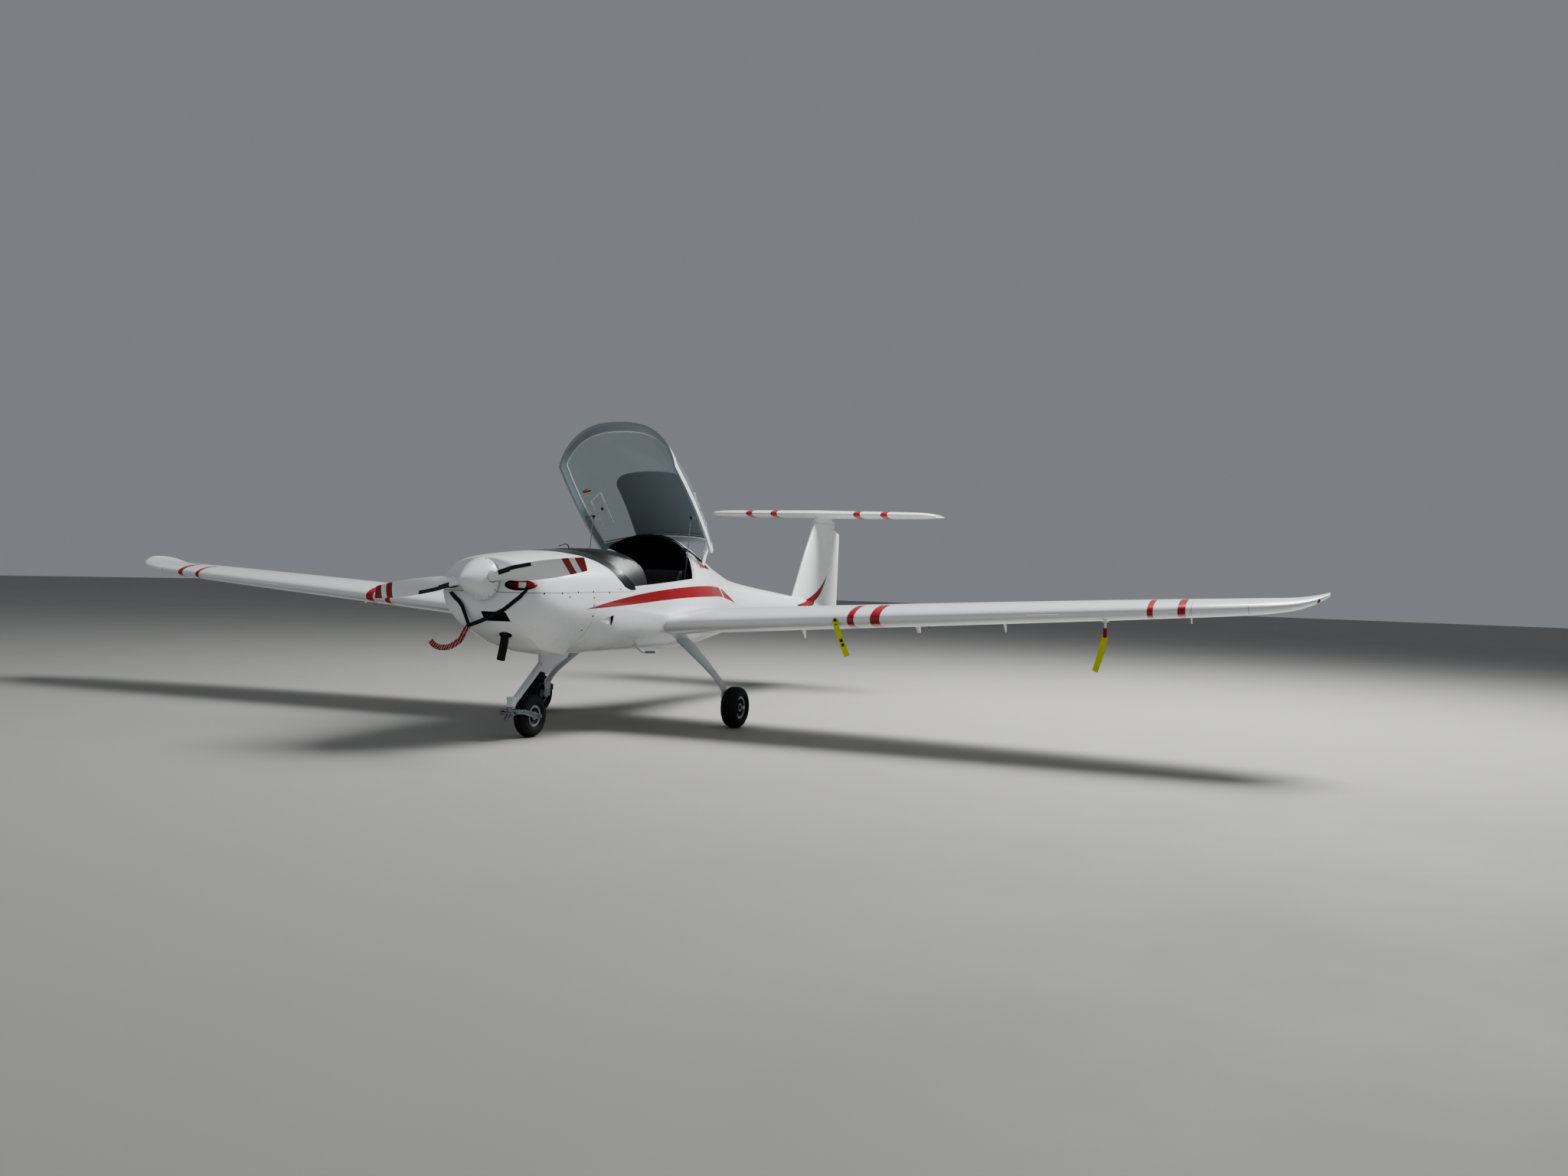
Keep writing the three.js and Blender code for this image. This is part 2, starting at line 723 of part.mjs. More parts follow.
// The fin carries the tailplane; behind, it is cut down in two steps so that the elevator can move
const elevatorRoom = [
  { s: 6860, z: 1883 },
  { s: 6965, z: 1790 },
]
  .map(({ s, z }) => box(X(s + 300), 0, z + 300, 600, 400, 600))
  .reduce((a, b) => a.add(b));
const finFixed = largest(finCut.fixed)
  .subtract(hullKeepOut)
  .subtract(stabSeat)
  .subtract(elevatorRoom)
  .add(rod([X(6925), 0, 1800 + gap], [X(6925.5), 0, 1822], hingePinRadius, hingePinRadius, 10));
add("fin", largest(finFixed), gelcoat);
const rudderTop = sideOutline(
  [
    [X(6800), 1812],
    [X(6800), 2200],
    [X(7400), 2200],
    [X(7400), 1700],
    [X(7160), 1752],
  ],
  -200,
  200,
);
const rudder = finCut.moving.subtract(rudderTop).subtract(box(X(7000), 0, 850, 500, 300, 70));
add("rudder", largest(rudder), gelcoat);
add("stabiliser", largest(stabCut.fixed), gelcoat);
add("elevator", largest(stabCut.moving), gelcoat);
// The rudder's lower bearing: a tongue off the end of the tail cone, with a pin up its axis
const lowerBearing = box(X(6815), 0, 872, 130, 40, 12).add(
  rod([X(6868), 0, 872], [X(6868), 0, 885 - gap], hingePinRadius, hingePinRadius, 10),
);
add("tail_cone", tailCone.add(skid).add(lowerBearing), gelcoat);

// Canopy: built shut on its own sections, a little above the deck at the fixed arch, then turned open
const canopyLift = (s) => 30 * THREE.MathUtils.smoothstep(s, 1300, 2250);
const canopySections = hullSections
  .filter((q) => q.s > 1000 && q.s < 3000)
  .map((q) => ({ ...q, top: q.top + canopyLift(q.s) }));
const canopyBody = (inset) => hull(inset, 1060, 2880, canopySections);
const frameDepth = 20;
const glassDepth = 5;
const frameBand = 62;
const shutGap = clear;
const shutSpace = canopySpace(shutGap);
const windowSpace = canopySpace(shutGap + frameBand);
const glassSpace = canopySpace(shutGap + frameBand + gap);
const frameShell = canopyBody(0).subtract(canopyBody(frameDepth));
const glassShell = canopyBody(1).subtract(canopyBody(1 + glassDepth));
const roofFrontS = 1862;
const roofHalf = 344;
const roofCorner = 110;
function roofPlan(grow) {
  const front = X(roofFrontS - grow);
  const half = roofHalf + grow;
  const points = [[X(2900), -half]];
  for (const side of [-1, 1])
    for (let i = 0; i <= 4; i++) {
      const t = (Math.PI / 8) * (side < 0 ? i : 4 - i);
      points.push([
        front - roofCorner + roofCorner * Math.sin(t),
        side * (half - roofCorner + roofCorner * Math.cos(t)),
      ]);
    }
  points.push([X(2900), half]);
  return planOutline(points, 1200, 1800);
}
const roofPanelShut = glassShell.intersect(glassSpace).intersect(roofPlan(0));
const glassShut = glassShell.intersect(glassSpace).subtract(roofPlan(gap));
const arm = (side) => {
  const y0 = side * armY - 9;
  return sideOutline(
    [
      [X(canopyHinge.s) - 26, canopyHinge.z - 26],
      [X(canopyHinge.s) + 26, canopyHinge.z - 26],
      [X(canopyHinge.s) + 40, canopyHinge.z + 60],
      [X(2585), 1290],
      [X(2520), 1480],
      [X(2575), 1480],
      [X(2635), 1300],
      [X(canopyHinge.s) - 26, canopyHinge.z + 60],
    ],
    y0,
    y0 + 18,
  );
};
const eyeStud = (side) =>
  rod(
    [X(strutEyeShut.s), side * (strutFoot.y + 9 + gap), strutEyeShut.z],
    [X(strutEyeShut.s), side * 556, strutEyeShut.z],
    7,
    7,
    12,
  );
let frameShut = frameShell.intersect(shutSpace).subtract(windowSpace);
for (const side of [1, -1]) frameShut = frameShut.add(arm(side)).add(eyeStud(side));

// Turns a shut canopy piece nose-up about the hinge line.
function opened(m) {
  const [hx, hz] = [X(canopyHinge.s), canopyHinge.z];
  return m.translate([-hx, 0, -hz]).rotate([0, -canopyAngle, 0]).translate([hx, 0, hz]);
}
add("canopy_frame", opened(largest(frameShut)), gelcoat);
add("canopy_glass", opened(largest(glassShut)), clearAcrylic);
add("canopy_roof_panel", opened(largest(roofPanelShut)), gelcoat);

// Hinge pin of the canopy, in two lugs off the bulkhead, is part of the fuselage
const hingeLugs = [1, -1]
  .map((side) =>
    sideOutline(
      [
        [X(3300), canopyHinge.z - 50],
        [X(canopyHinge.s) + 20, canopyHinge.z - 20],
        [X(canopyHinge.s) + 20, canopyHinge.z + 20],
        [X(3300), canopyHinge.z + 50],
      ],
      side > 0 ? armY - 27 - gap : -armY + 9 + gap,
      side > 0 ? armY - 9 - gap : -armY + 27 + gap,
    ),
  )
  .reduce((a, b) => a.add(b));

// Gas struts, rest pose
const turnAbout = ({ s, z }) => {
  const t = rad(canopyAngle);
  const dx = X(s) - X(canopyHinge.s);
  const dz = z - canopyHinge.z;
  return [
    X(canopyHinge.s) + dx * Math.cos(t) - dz * Math.sin(t),
    canopyHinge.z + dx * Math.sin(t) + dz * Math.cos(t),
  ];
};
const eyeOpen = turnAbout(strutEyeShut);
for (const [side, word] of [
  [1, "left"],
  [-1, "right"],
]) {
  const y = side * strutFoot.y;
  const foot = new THREE.Vector3(X(strutFoot.s), y, strutFoot.z);
  const eye = new THREE.Vector3(eyeOpen[0], y, eyeOpen[1]);
  const dir = eye.clone().sub(foot).normalize();
  const at = (d) => foot.clone().addScaledVector(dir, d).toArray();
  const full = eye.distanceTo(foot);
  const bore = rod(at(14), at(strutTubeLength + 5), strutRodRadius + gap, strutRodRadius + gap, 12);
  const tube = rod(at(0), at(strutTubeLength), strutTubeRadius, strutTubeRadius, 14)
    .add(rod([foot.x, y - 9, foot.z], [foot.x, y + 9, foot.z], 11, 11, 14))
    .subtract(bore);
  add("strut_tube_" + word, tube, blackPaint);
  const eyeRing = rod([eye.x, y - 9, eye.z], [eye.x, y + 9, eye.z], 10, 10, 12);
  const rodBody = rod(at(strutTubeLength - 20), at(full), strutRodRadius, strutRodRadius, 10).add(eyeRing);
  add("strut_rod_" + word, rodBody, steel);
}
const footBrackets = [1, -1]
  .map((side) =>
    rod(
      [X(strutFoot.s), side * (strutFoot.y + 9 + gap), strutFoot.z],
      [X(strutFoot.s), side * 556, strutFoot.z],
      9,
      9,
      12,
    ),
  )
  .reduce((a, b) => a.add(b));

// The hinge lugs, the gas struts' feet and the two air ducts belong to the fuselage
fuselage = fuselage.add(hingeLugs.intersect(hull(4, firewallStation, aftBulkhead - 4)));
fuselage = fuselage.add(footBrackets);
fuselage = fuselage.subtract(airDuct);

// Glareshield and instrument panel, one moulded hood over the panel
const hoodTop = (s) => 1396 + 22 * Math.sin((Math.PI * (s - 1100)) / 1300);
const hoodInset = cabinWall + 2;
function hoodRing(s, thick) {
  const q = { ...sectionAt(s), above: 2.6 };
  q.top = hoodTop(s) - thick;
  q.half -= hoodInset + thick * 0.5;
  const ring = [];
  const n = 18;
  for (let i = 0; i <= n; i++) {
    const t = (Math.PI * i) / n;
    const power = 2 / 2.5;
    const c = Math.cos(t);
    ring.push([
      X(s),
      q.half * Math.sign(c) * Math.abs(c) ** power,
      1128 + (q.top - 1128) * Math.sin(t) ** power,
    ]);
  }
  return ring;
}
const hoodOuter = loft([1240, 1330, 1450, 1560, 1640, 1668].map((s, i) => hoodRing(s, [14, 6, 0, 0, 8, 40][i])));
const hoodKeep = canopyBody(frameDepth + clear).add(hull(cabinWall + gap, innerStart, aftBulkhead));
const hood = hoodOuter.intersect(hoodKeep);
add("instrument_hood", largest(hood), leather);

// Seats: a fixed bucket each, its back leaning aft, standing on the cabin floor
const seatY = 262;
const seatHalf = 185;
const seatProfile = [
  [X(1930), 690],
  [X(1905), 858],
  [X(1925), 880],
  [X(2290), 842],
  [X(2440), 1275],
  [X(2482), 1275],
  [X(2500), 1258],
  [X(2350), 800],
  [X(2330), 690],
];
for (const [side, word] of [
  [1, "left"],
  [-1, "right"],
]) {
  const seat = sideOutline(seatProfile, side * seatY - seatHalf, side * seatY + seatHalf).intersect(
    hull(cabinWall + 30, innerStart, aftBulkhead - 60),
  );
  const floorLeg = box(X(2130), side * seatY, 662, 380, 360, 64).intersect(
    hull(cabinWall + gap, innerStart, aftBulkhead - 60),
  );
  add("seat_" + word, largest(seat.add(floorLeg)), leather);
  const stick = rod([X(1800), side * seatY, 660], [X(1800), side * seatY, 800], 9, 9, 10)
    .add(rod([X(1800), side * seatY, 792], [X(1845), side * seatY, 1010], 11, 11, 10))
    .add(rod([X(1840), side * seatY, 985], [X(1858), side * seatY, 1090], 17, 15, 10))
    .add(box(X(1800), side * seatY, 660, 90, 70, 60).intersect(
      hull(cabinWall + gap, innerStart, aftBulkhead - 60),
    ));
  add("control_stick_" + word, largest(stick), blackPaint);
}

// Steps behind the wing's leading edge on each side of the cabin
const stepRoot = { s: 1629, y: 395, z: 738 };
const stepFoot = { s: 1768, y: 452, z: 615 };
for (const [side, word] of [
  [1, "left"],
  [-1, "right"],
]) {
  const step = rod(
    [X(stepRoot.s), side * stepRoot.y, stepRoot.z],
    [X(stepFoot.s), side * stepFoot.y, stepFoot.z],
    13,
    11,
    12,
  )
    .add(
      rod(
        [X(stepFoot.s), side * (stepFoot.y - 8), stepFoot.z + 2],
        [X(stepFoot.s + 16), side * (stepFoot.y + 112), stepFoot.z + 8],
        10,
        10,
        12,
      ),
    )
    .subtract(hullKeepOut);
  add("step_" + word, largest(step), greyPaint);
}

// Main gear: a flat spring leg each side from the fuselage to the stub axle
const mainAxleZ = mainTyreRadius;
const legTable = [
  // y, z, station, half length, half thickness
  [300, 745, 2500, 128, 20],
  [420, 690, 2505, 118, 19],
  [560, 575, 2500, 92, 17],
  [700, 452, 2486, 62, 15],
  [820, 330, 2468, 46, 14],
  [858, 262, 2456, 42, 14],
];
function legRing([y, z, s, a, b]) {
  const ring = [];
  const n = 16;
  const tilt = rad(42);
  for (let i = 0; i < n; i++) {
    const t = (2 * Math.PI * i) / n;
    const across = b * Math.sin(t);
    ring.push([
      X(s) + a * Math.cos(t),
      y + across * Math.cos(tilt),
      z + across * Math.sin(tilt),
    ]);
  }
  return ring;
}
const axlePlateY = 848;
const mainLeg = loft(legTable.map(legRing))
  .add(box(X(mainAxleStation), axlePlateY, 222, 78, 16, 150))
  .add(rod([X(mainAxleStation), axlePlateY, mainAxleZ], [X(mainAxleStation), 1030, mainAxleZ], 16, 16, 16))
  .add(box(X(mainAxleStation + 62), axlePlateY + 8, mainAxleZ + 52, 66, 44, 60));
for (const [side, word] of [
  [1, "left"],
  [-1, "right"],
]) {
  const wing = side > 0 ? wingBlank : mirror(wingBlank);
  const leg = (side > 0 ? mainLeg : mirror(mainLeg)).subtract(hullKeepOut).subtract(wing);
  add("main_leg_" + word, largest(leg), greyPaint);
}

// A wheel: profile points are [radius, across]; the tyre sits round the rim's seat.
function tyreSolid(radius, width, seat, at) {
  const w = width / 2;
  const bead = w * 0.595;
  const rows = [
    [seat, -bead],
    [seat + 9.4, -bead],
    [seat + 9.4, -w * 0.74],
    [radius - 44, -w],
    [radius - 14, -w * 0.88],
    [radius, -w * 0.42],
    [radius, w * 0.42],
    [radius - 14, w * 0.88],
    [radius - 44, w],
    [seat + 9.4, w * 0.74],
    [seat + 9.4, bead],
    [seat, bead],
    [seat, -bead],
  ];
  return turned(rows, 36, "y", at);
}
function rimSolid(seat, width, bore, at) {
  const w = (width / 2) * 0.7;
  const rows = [
    [bore, -w],
    [bore + 22, -w],
    [bore + 24, -w * 0.4],
    [seat - 14, -w * 0.4],
    [seat - 14, -w],
    [seat + 9, -w],
    [seat - 0.4, -w * 0.86],
    [seat - 0.4, w * 0.86],
    [seat + 9, w],
    [seat - 14, w],
    [seat - 14, w * 0.4],
    [bore + 24, w * 0.4],
    [bore + 22, w],
    [bore, w],
    [bore, -w],
  ];
  return turned(rows, 24, "y", at);
}
const mainSeat = 84;
const noseSeat = 72;
function wheel(word, at, radius, width, seat, bore) {
  const rim = rimSolid(seat, width, bore, at);
  add("rim_" + word, rim, alloy);
  add("tyre_" + word, tyreSolid(radius, width, seat, at), rubber);
}
wheel("left", [X(mainAxleStation), track / 2, mainAxleZ], mainTyreRadius, mainTyreWidth, mainSeat, 17);
wheel("right", [X(mainAxleStation), -track / 2, mainAxleZ], mainTyreRadius, mainTyreWidth, mainSeat, 17);

// Nose gear: a sprung tube from the firewall's underside to the caster head, then a trailing fork
const casterHead = { s: casterStation, z: 262 };
// Fairing sections down the leg: front station and height, rear station and height, half width
const legFairing = [
  [1021, 700, 1387, 700, 52],
  [1019, 640, 1387, 606, 52],
  [1017, 590, 1372, 572, 51],
  [1015, 545, 1270, 530, 46],
  [1013, 508, 1165, 488, 38],
  [1010, 478, 1104, 451.5, 32.5],
];
function fairingRing([frontS, frontZ, rearS, rearZ, half]) {
  const ring = [];
  const n = 16;
  for (let i = 0; i < n; i++) {
    const t = (2 * Math.PI * i) / n;
    const c = Math.cos(t);
    const v = Math.sin(t);
    const s = (frontS + rearS) / 2 - (c * (rearS - frontS)) / 2;
    const z = (frontZ + rearZ) / 2 - (c * (rearZ - frontZ)) / 2;
    ring.push([X(s), half * Math.sign(v) * Math.abs(v) ** 0.82, z]);
  }
  return ring;
}
const noseLeg = rod([X(1075), 0, 560], [X(casterHead.s + 18), 0, 262], 27, 25, 18)
  .add(loft(legFairing.map(fairingRing)))
  .add(rod([X(casterHead.s), 0, 240], [X(casterHead.s), 0, 312], 34, 34, 18));
const noseLegFitted = largest(noseLeg.subtract(hullKeepOut));
add("nose_leg", noseLegFitted, greyPaint);

const noseAxleZ = noseTyreRadius;
const forkArmY = 78;
let fork = rod([X(casterHead.s), 0, 239.5], [X(casterHead.s), 0, 205], 32, 32, 18).add(
  box(X(casterHead.s + 20), 0, 206, 96, 2 * forkArmY + 14, 30),
);
for (const side of [1, -1])
  fork = fork.add(
    sideOutline(
      [
        [X(casterHead.s - 10), 221],
        [X(casterHead.s + 60), 221],
        [X(noseAxleStation - 5), 178],
        [X(noseAxleStation + 18), 157],
        [X(noseAxleStation - 5), 136],
        [X(casterHead.s - 10), 192],
      ],
      side * forkArmY - 7,
      side * forkArmY + 7,
    ),
  );
fork = fork
  .add(
    rod(
      [X(noseAxleStation), -forkArmY - 12, noseAxleZ],
      [X(noseAxleStation), forkArmY + 12, noseAxleZ],
      12,
      12,
      14,
    ),
  )
  .add(rod([X(casterHead.s - 10), -14, 205], [X(596), -14, 146], 6, 6, 8))
  .add(rod([X(casterHead.s - 10), 14, 205], [X(596), 14, 146], 6, 6, 8))
  .add(rod([X(596), -20, 146], [X(596), 20, 146], 6, 6, 8));
add("nose_fork", largest(fork), greyPaint);
wheel("nose", [X(noseAxleStation), 0, noseAxleZ], noseTyreRadius, noseTyreWidth, noseSeat, 13);

// Propeller: blades in pockets of the spinner
const bladeTable = [
  // radius, chord, thickness, pitch in degrees
  [140, 76, 58, 62],
  [220, 112, 34, 52],
  [340, 140, 24, 40],
  [520, 142, 18, 30],
  [720, 124, 13, 23],
  [876.5, 96, 9, 19],
];
function bladeRing([r, chord, thick, pitch]) {
  const ring = [];
  const n = 14;
  const t0 = rad(pitch);
  for (let i = 0; i < n; i++) {
    const t = (2 * Math.PI * i) / n;
    const a = (chord / 2) * Math.cos(t);
    const b = (thick / 2) * Math.sin(t);
    // The chord leans from the disc plane toward the axis by the pitch; the leading edge is up and forward
    ring.push([a * Math.sin(t0) + b * Math.cos(t0), r, a * Math.cos(t0) - b * Math.sin(t0)]);
  }
  return ring;
}
const bladeRoot = rod([0, 62, 0], [0, 150, 0], 38, 38, 20);
const bladeLocal = loft(bladeTable.map(bladeRing)).add(bladeRoot);
const pocket = rod([0, 61.7, 0], [0, 210, 0], 41, 41, 20);
const placed = (m, turn) => m.rotate([turn, 0, 0]).translate([X(propStation), 0, propAxisZ]);
const spinnerBody = turned(
  [
    [0, 0],
    [7, -4],
    [15, -10],
    [34, -30],
    [61, -64],
    [84, -100],
    [105, -136],
    [123, -172],
    [138, -208],
    [spinnerRadius, -246],
    [spinnerRadius, -spinnerLength],
    [0, -spinnerLength],
  ],
  40,
  "x",
  [X(0), 0, propAxisZ],
);
const spinner = spinnerBody
  .subtract(placed(pocket, bladeTurn))
  .subtract(placed(pocket, bladeTurn + 180));
add("spinner", largest(spinner), gelcoat);
add("blade_left", placed(bladeLocal, bladeTurn), gelcoat);
add("blade_right", placed(bladeLocal, bladeTurn + 180), gelcoat);

add("fuselage", largest(fuselage), gelcoat);

// Webbing from both inlet plugs to a knot below the spinner, and the streamer that hangs from it
const webWidth = 22;
const webThick = 3;
const webStation = 257; // the free part hangs between the blades' path and the cowl
const knot = [X(webStation), -99, 835];
const webLeft = ribbon(
  [
    [X(316), 330, 1118],
    [X(302), 336, 1098],
    [X(291), 320, 1075],
    [X(284), 296, 1045],
    [X(278), 249, 1009],
    [X(275), 181, 958],
    [X(274), 145, 939],
    [X(webStation), 10, 873],
    knot,
  ],
  [
    [0, 1, 0.3],
    [0.3, 0.9, 0.2],
    [0.3, 0.9, -0.3],
    [0.2, 0.8, -0.5],
    [0.1, 0.6, -0.7],
    [0, 0.6, -0.8],
    [0, 0.5, -0.8],
    [0, 0.4, -0.9],
  ],
  webWidth,
  webThick,
);
const webRight = ribbon(
  [
    [X(316), -300, 1120],
    [X(302), -300, 1095],
    [X(286), -285, 1070],
    [X(266), -240, 1035],
    [X(webStation), -170, 980],
    knot,
  ],
  [
    [0, 1, 0],
    [0.3, 1, 0.2],
    [0.2, 0.8, 0.5],
    [0.1, 0.7, 0.6],
    [0, 0.9, 0.4],
  ],
  webWidth,
  webThick,
);
const streamerWidth = 30;
const streamerThick = 2;
const streamerPath = [
  [-99, 835],
  [-134, 786],
  [-161, 738],
  [-204, 704],
  [-260, 676],
  [-331, 668],
  [-386, 682],
  [-422, 713],
];
const streamer = ribbon(
  streamerPath.map(([y, z]) => [X(webStation), y, z]),
  [
    [0, 0.8, -0.6],
    [0, 0.9, -0.4],
    [0, 0.8, -0.5],
    [0, 0.6, -0.8],
    [0, 0.3, -0.95],
    [0, 0, -1],
    [0, -0.4, -0.9],
  ],
  streamerWidth,
  streamerThick,
);
const plugsGrown = [1, -1].map((side) => inletOval(side, 0, plugFront - gap, 420));
const plugWeb = webLeft
  .add(webRight)
  .add(streamer)
  .subtract(hullKeepOut)
  .subtract(plugsGrown[0])
  .subtract(plugsGrown[1]);
add("plug_strap", largest(plugWeb), blackPaint);

// A pin flag at the left wing's leading edge, and a sleeve with a flag over the air probe
const pinY = 1990;
const pinAt = wingHinge(pinY, 0.004).at;
const flagWidth = 45;
const flagThick = 2;
const pinFlag = rod([pinAt[0] - 20, pinY, pinAt[2]], [pinAt[0] + 14, pinY, pinAt[2]], 6, 6, 10).add(
  ribbon(
    [[pinAt[0] + 8, pinY, pinAt[2] + 4], [pinAt[0] + 8, pinY + 107, pinAt[2] - 268]],
    [[0, 1, 0.4]],
    flagWidth,
    flagThick,
  ),
);
add("pin_flag", largest(pinFlag.subtract(wingGrown)), yellowCloth);
const sleeveTop = 943;
const sleeveFoot = 874;
const sleeveRadius = 14;
const coverFlag = rod([probeX, probeY, sleeveTop], [probeX, probeY, sleeveFoot], sleeveRadius, sleeveRadius, 12)
  .subtract(rod([probeX, probeY, 1000], [probeX, probeY, probeTip - gap], probeRadius + gap, probeRadius + gap, 12))
  .add(
    ribbon(
      [[probeX, probeY, sleeveFoot + 6], [probeX + 4, probeY - 64, 624]],
      [[0, 1, -0.25]],
      flagWidth,
      flagThick,
    ),
  );
add("probe_cover", largest(coverFlag), redCover);

export default root;
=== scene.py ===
# Two-seat light aircraft with its canopy held open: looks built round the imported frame.
# Metres, +X the nose, +Y the aircraft's left, +Z up. A station s is counted aft from the spinner's tip.
import math

import bmesh
import bpy
from mathutils import Matrix, Vector


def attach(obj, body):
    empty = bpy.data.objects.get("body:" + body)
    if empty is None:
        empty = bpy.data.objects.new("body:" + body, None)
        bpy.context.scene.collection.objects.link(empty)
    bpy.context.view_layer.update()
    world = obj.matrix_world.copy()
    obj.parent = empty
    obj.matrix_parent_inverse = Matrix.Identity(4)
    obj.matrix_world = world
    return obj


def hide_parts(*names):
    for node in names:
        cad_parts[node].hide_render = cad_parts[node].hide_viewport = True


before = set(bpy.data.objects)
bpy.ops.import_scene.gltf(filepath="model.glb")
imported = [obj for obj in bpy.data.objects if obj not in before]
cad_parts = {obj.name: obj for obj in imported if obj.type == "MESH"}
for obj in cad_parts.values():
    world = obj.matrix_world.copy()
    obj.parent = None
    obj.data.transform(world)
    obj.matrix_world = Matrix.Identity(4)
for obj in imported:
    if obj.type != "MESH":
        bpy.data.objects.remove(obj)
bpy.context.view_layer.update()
noseX = 3.6
bothSides = (("left", 1), ("right", -1))


def xAt(s):
    return noseX - s


# A place by station, span and height; a row of such places on either side; an outline in the side view
def spot(s, y, z):
    return Vector((xAt(s), y, z))


def route(rows, side=1, shift=0.0):
    return [spot(s, side * (y + shift), z) for s, y, z in rows]


def sideView(rows):
    return [(xAt(s), z) for s, z in rows]


# Camera at the photograph's place, and the soft studio round the aircraft
view = {
    "place": (11.309, 5.677, 1.246),
    "right": (-0.39177, 0.91953, 0.03143),
    "up": (0.00442, -0.03228, 0.99947),
    "forward": (-0.92005, -0.39170, -0.00858),
    "lens": 31.52,
    "sensor": 36,
    "clip": (0.1, 200),
}
studio = {
    "sky": 0.27,  # strength of the even pale surround
    "skyColour": "#dfe4ea",
    "key": {"power": 2500, "size": 5.5, "place": (-4.0, 6.0, 10.5)},
    "fill": {"power": 110, "size": 8.0, "place": (12.0, -5.0, 5.5)},
    "aim": (0.5, 0, 0.8),
    "floorHalf": 60.0,
    "floorZ": -0.0008,
    "floorColours": ("#a9a8a4", "#a3a29e"),
}


def toLinear(hexColour):
    parts = [int(hexColour[i : i + 2], 16) / 255 for i in (1, 3, 5)]
    return tuple(c / 12.92 if c <= 0.04045 else ((c + 0.055) / 1.055) ** 2.4 for c in parts) + (1,)


def addNode(tree, kind, settings=None, inputs=None):
    made = tree.nodes.new("ShaderNode" + kind)
    for name, value in (settings or {}).items():
        setattr(made, name, value)
    for name, value in (inputs or {}).items():
        if isinstance(value, bpy.types.NodeSocket):
            tree.links.new(value, made.inputs[name])
        else:
            made.inputs[name].default_value = value
    return made


def noiseOf(tree, place, scale, detail, roughness=0.5):
    words = {"Vector": place, "Scale": scale, "Detail": detail, "Roughness": roughness}
    return addNode(tree, "TexNoise", inputs=words).outputs["Fac"]


def rangeOf(tree, value, low, high, newLow=0.0, newHigh=1.0):
    words = {"Value": value, "From Min": low, "From Max": high, "To Min": newLow, "To Max": newHigh}
    return addNode(tree, "MapRange", inputs=words).outputs[0]


def mixOf(tree, share, first, second):
    words = {"Factor": share, 6: first, 7: second}  # 6 and 7 are the two colours of the node
    return addNode(tree, "Mix", {"data_type": "RGBA"}, words).outputs[2]


def reliefOf(tree, strength, distance, height):
    words = {"Strength": strength, "Distance": distance, "Height": height}
    return addNode(tree, "Bump", inputs=words).outputs[0]


def startMaterial(name, shine):
    made = bpy.data.materials.new(name)
    made.use_nodes = True
    tree = made.node_tree
    tree.nodes.clear()
    surface = addNode(tree, "BsdfPrincipled", inputs=shine)
    out = addNode(tree, "OutputMaterial", inputs={"Surface": surface.outputs[0]})
    place = addNode(tree, "TexCoord").outputs["Object"]
    return made, tree, surface, place, out


# Mottled colour, uneven gloss and a fine bump over object coordinates
def finishSurface(tree, surface, place, colours, roughness, grain, bump, distance=0.001):
    broad = noiseOf(tree, place, grain[0], 4.0, 0.6)
    fine = noiseOf(tree, place, grain[1], 3.0, 0.55)
    tint = mixOf(tree, broad, toLinear(colours[0]), toLinear(colours[1]))
    for name, value in (
        ("Roughness", rangeOf(tree, broad, 0.3, 0.7, *roughness)),
        ("Normal", reliefOf(tree, bump, distance, fine)),
        ("Base Color", tint),
    ):
        tree.links.new(value, surface.inputs[name])
    return tint


# Sums and masks over the coordinates; a mask is 1 where it holds and 0 elsewhere
def calc(tree, operation, a, b=0.0, c=0.0):
    return addNode(tree, "Math", {"operation": operation}, {0: a, 1: b, 2: c}).outputs[0]


def lineOf(tree, value, slope, start):
    return calc(tree, "MULTIPLY_ADD", value, slope, start)


def isUnder(tree, value, limit):
    return calc(tree, "LESS_THAN", value, limit)


def isOver(tree, value, limit):
    return calc(tree, "GREATER_THAN", value, limit)


def isNear(tree, value, middle, half):
    return calc(tree, "COMPARE", value, middle, half)


def allOf(tree, mask, *others):
    for other in others:
        mask = calc(tree, "MULTIPLY", mask, other)
    return mask


def anyOf(tree, mask, *others):
    for other in others:
        mask = calc(tree, "ADD", mask, other)
    return mask


def isBetween(tree, value, low, high):
    return allOf(tree, isOver(tree, value, low), isUnder(tree, value, high))


# A height along the aircraft as a curve: both are scaled to 0..1 for the node and back again
def curveOf(tree, value, span, points, heights):
    curve = addNode(tree, "FloatCurve", inputs={"Value": rangeOf(tree, value, *span)})
    drawn = curve.mapping.curves[0]
    low, high = heights
    for i, (a, b) in enumerate(points):
        at = ((a - span[0]) / (span[1] - span[0]), (b - low) / (high - low))
        if i < 2:
            drawn.points[i].location = at
        else:
            drawn.points.new(*at)
    curve.mapping.update()
    return rangeOf(tree, curve.outputs[0], 0.0, 1.0, low, high)


# Painted composite: two-pack white over filled glass cloth, so broad soft gloss and a faint orange peel.
# Each overlay gives a mask and its colour from the station s, the span y and the height z.
whiteColours = ("#e9ebec", "#e1e4e6")
redPaint, bandRed, blackPaint, lineGrey = "#8f0b13", "#a3202a", "#0b0c0e", "#6d7378"
dust = {"colour": "#b9b4a8", "heights": (0.35, 0.95), "shares": (0.5, 0.06)}
jointLine = 0.0016  # half the drawn width of a joint


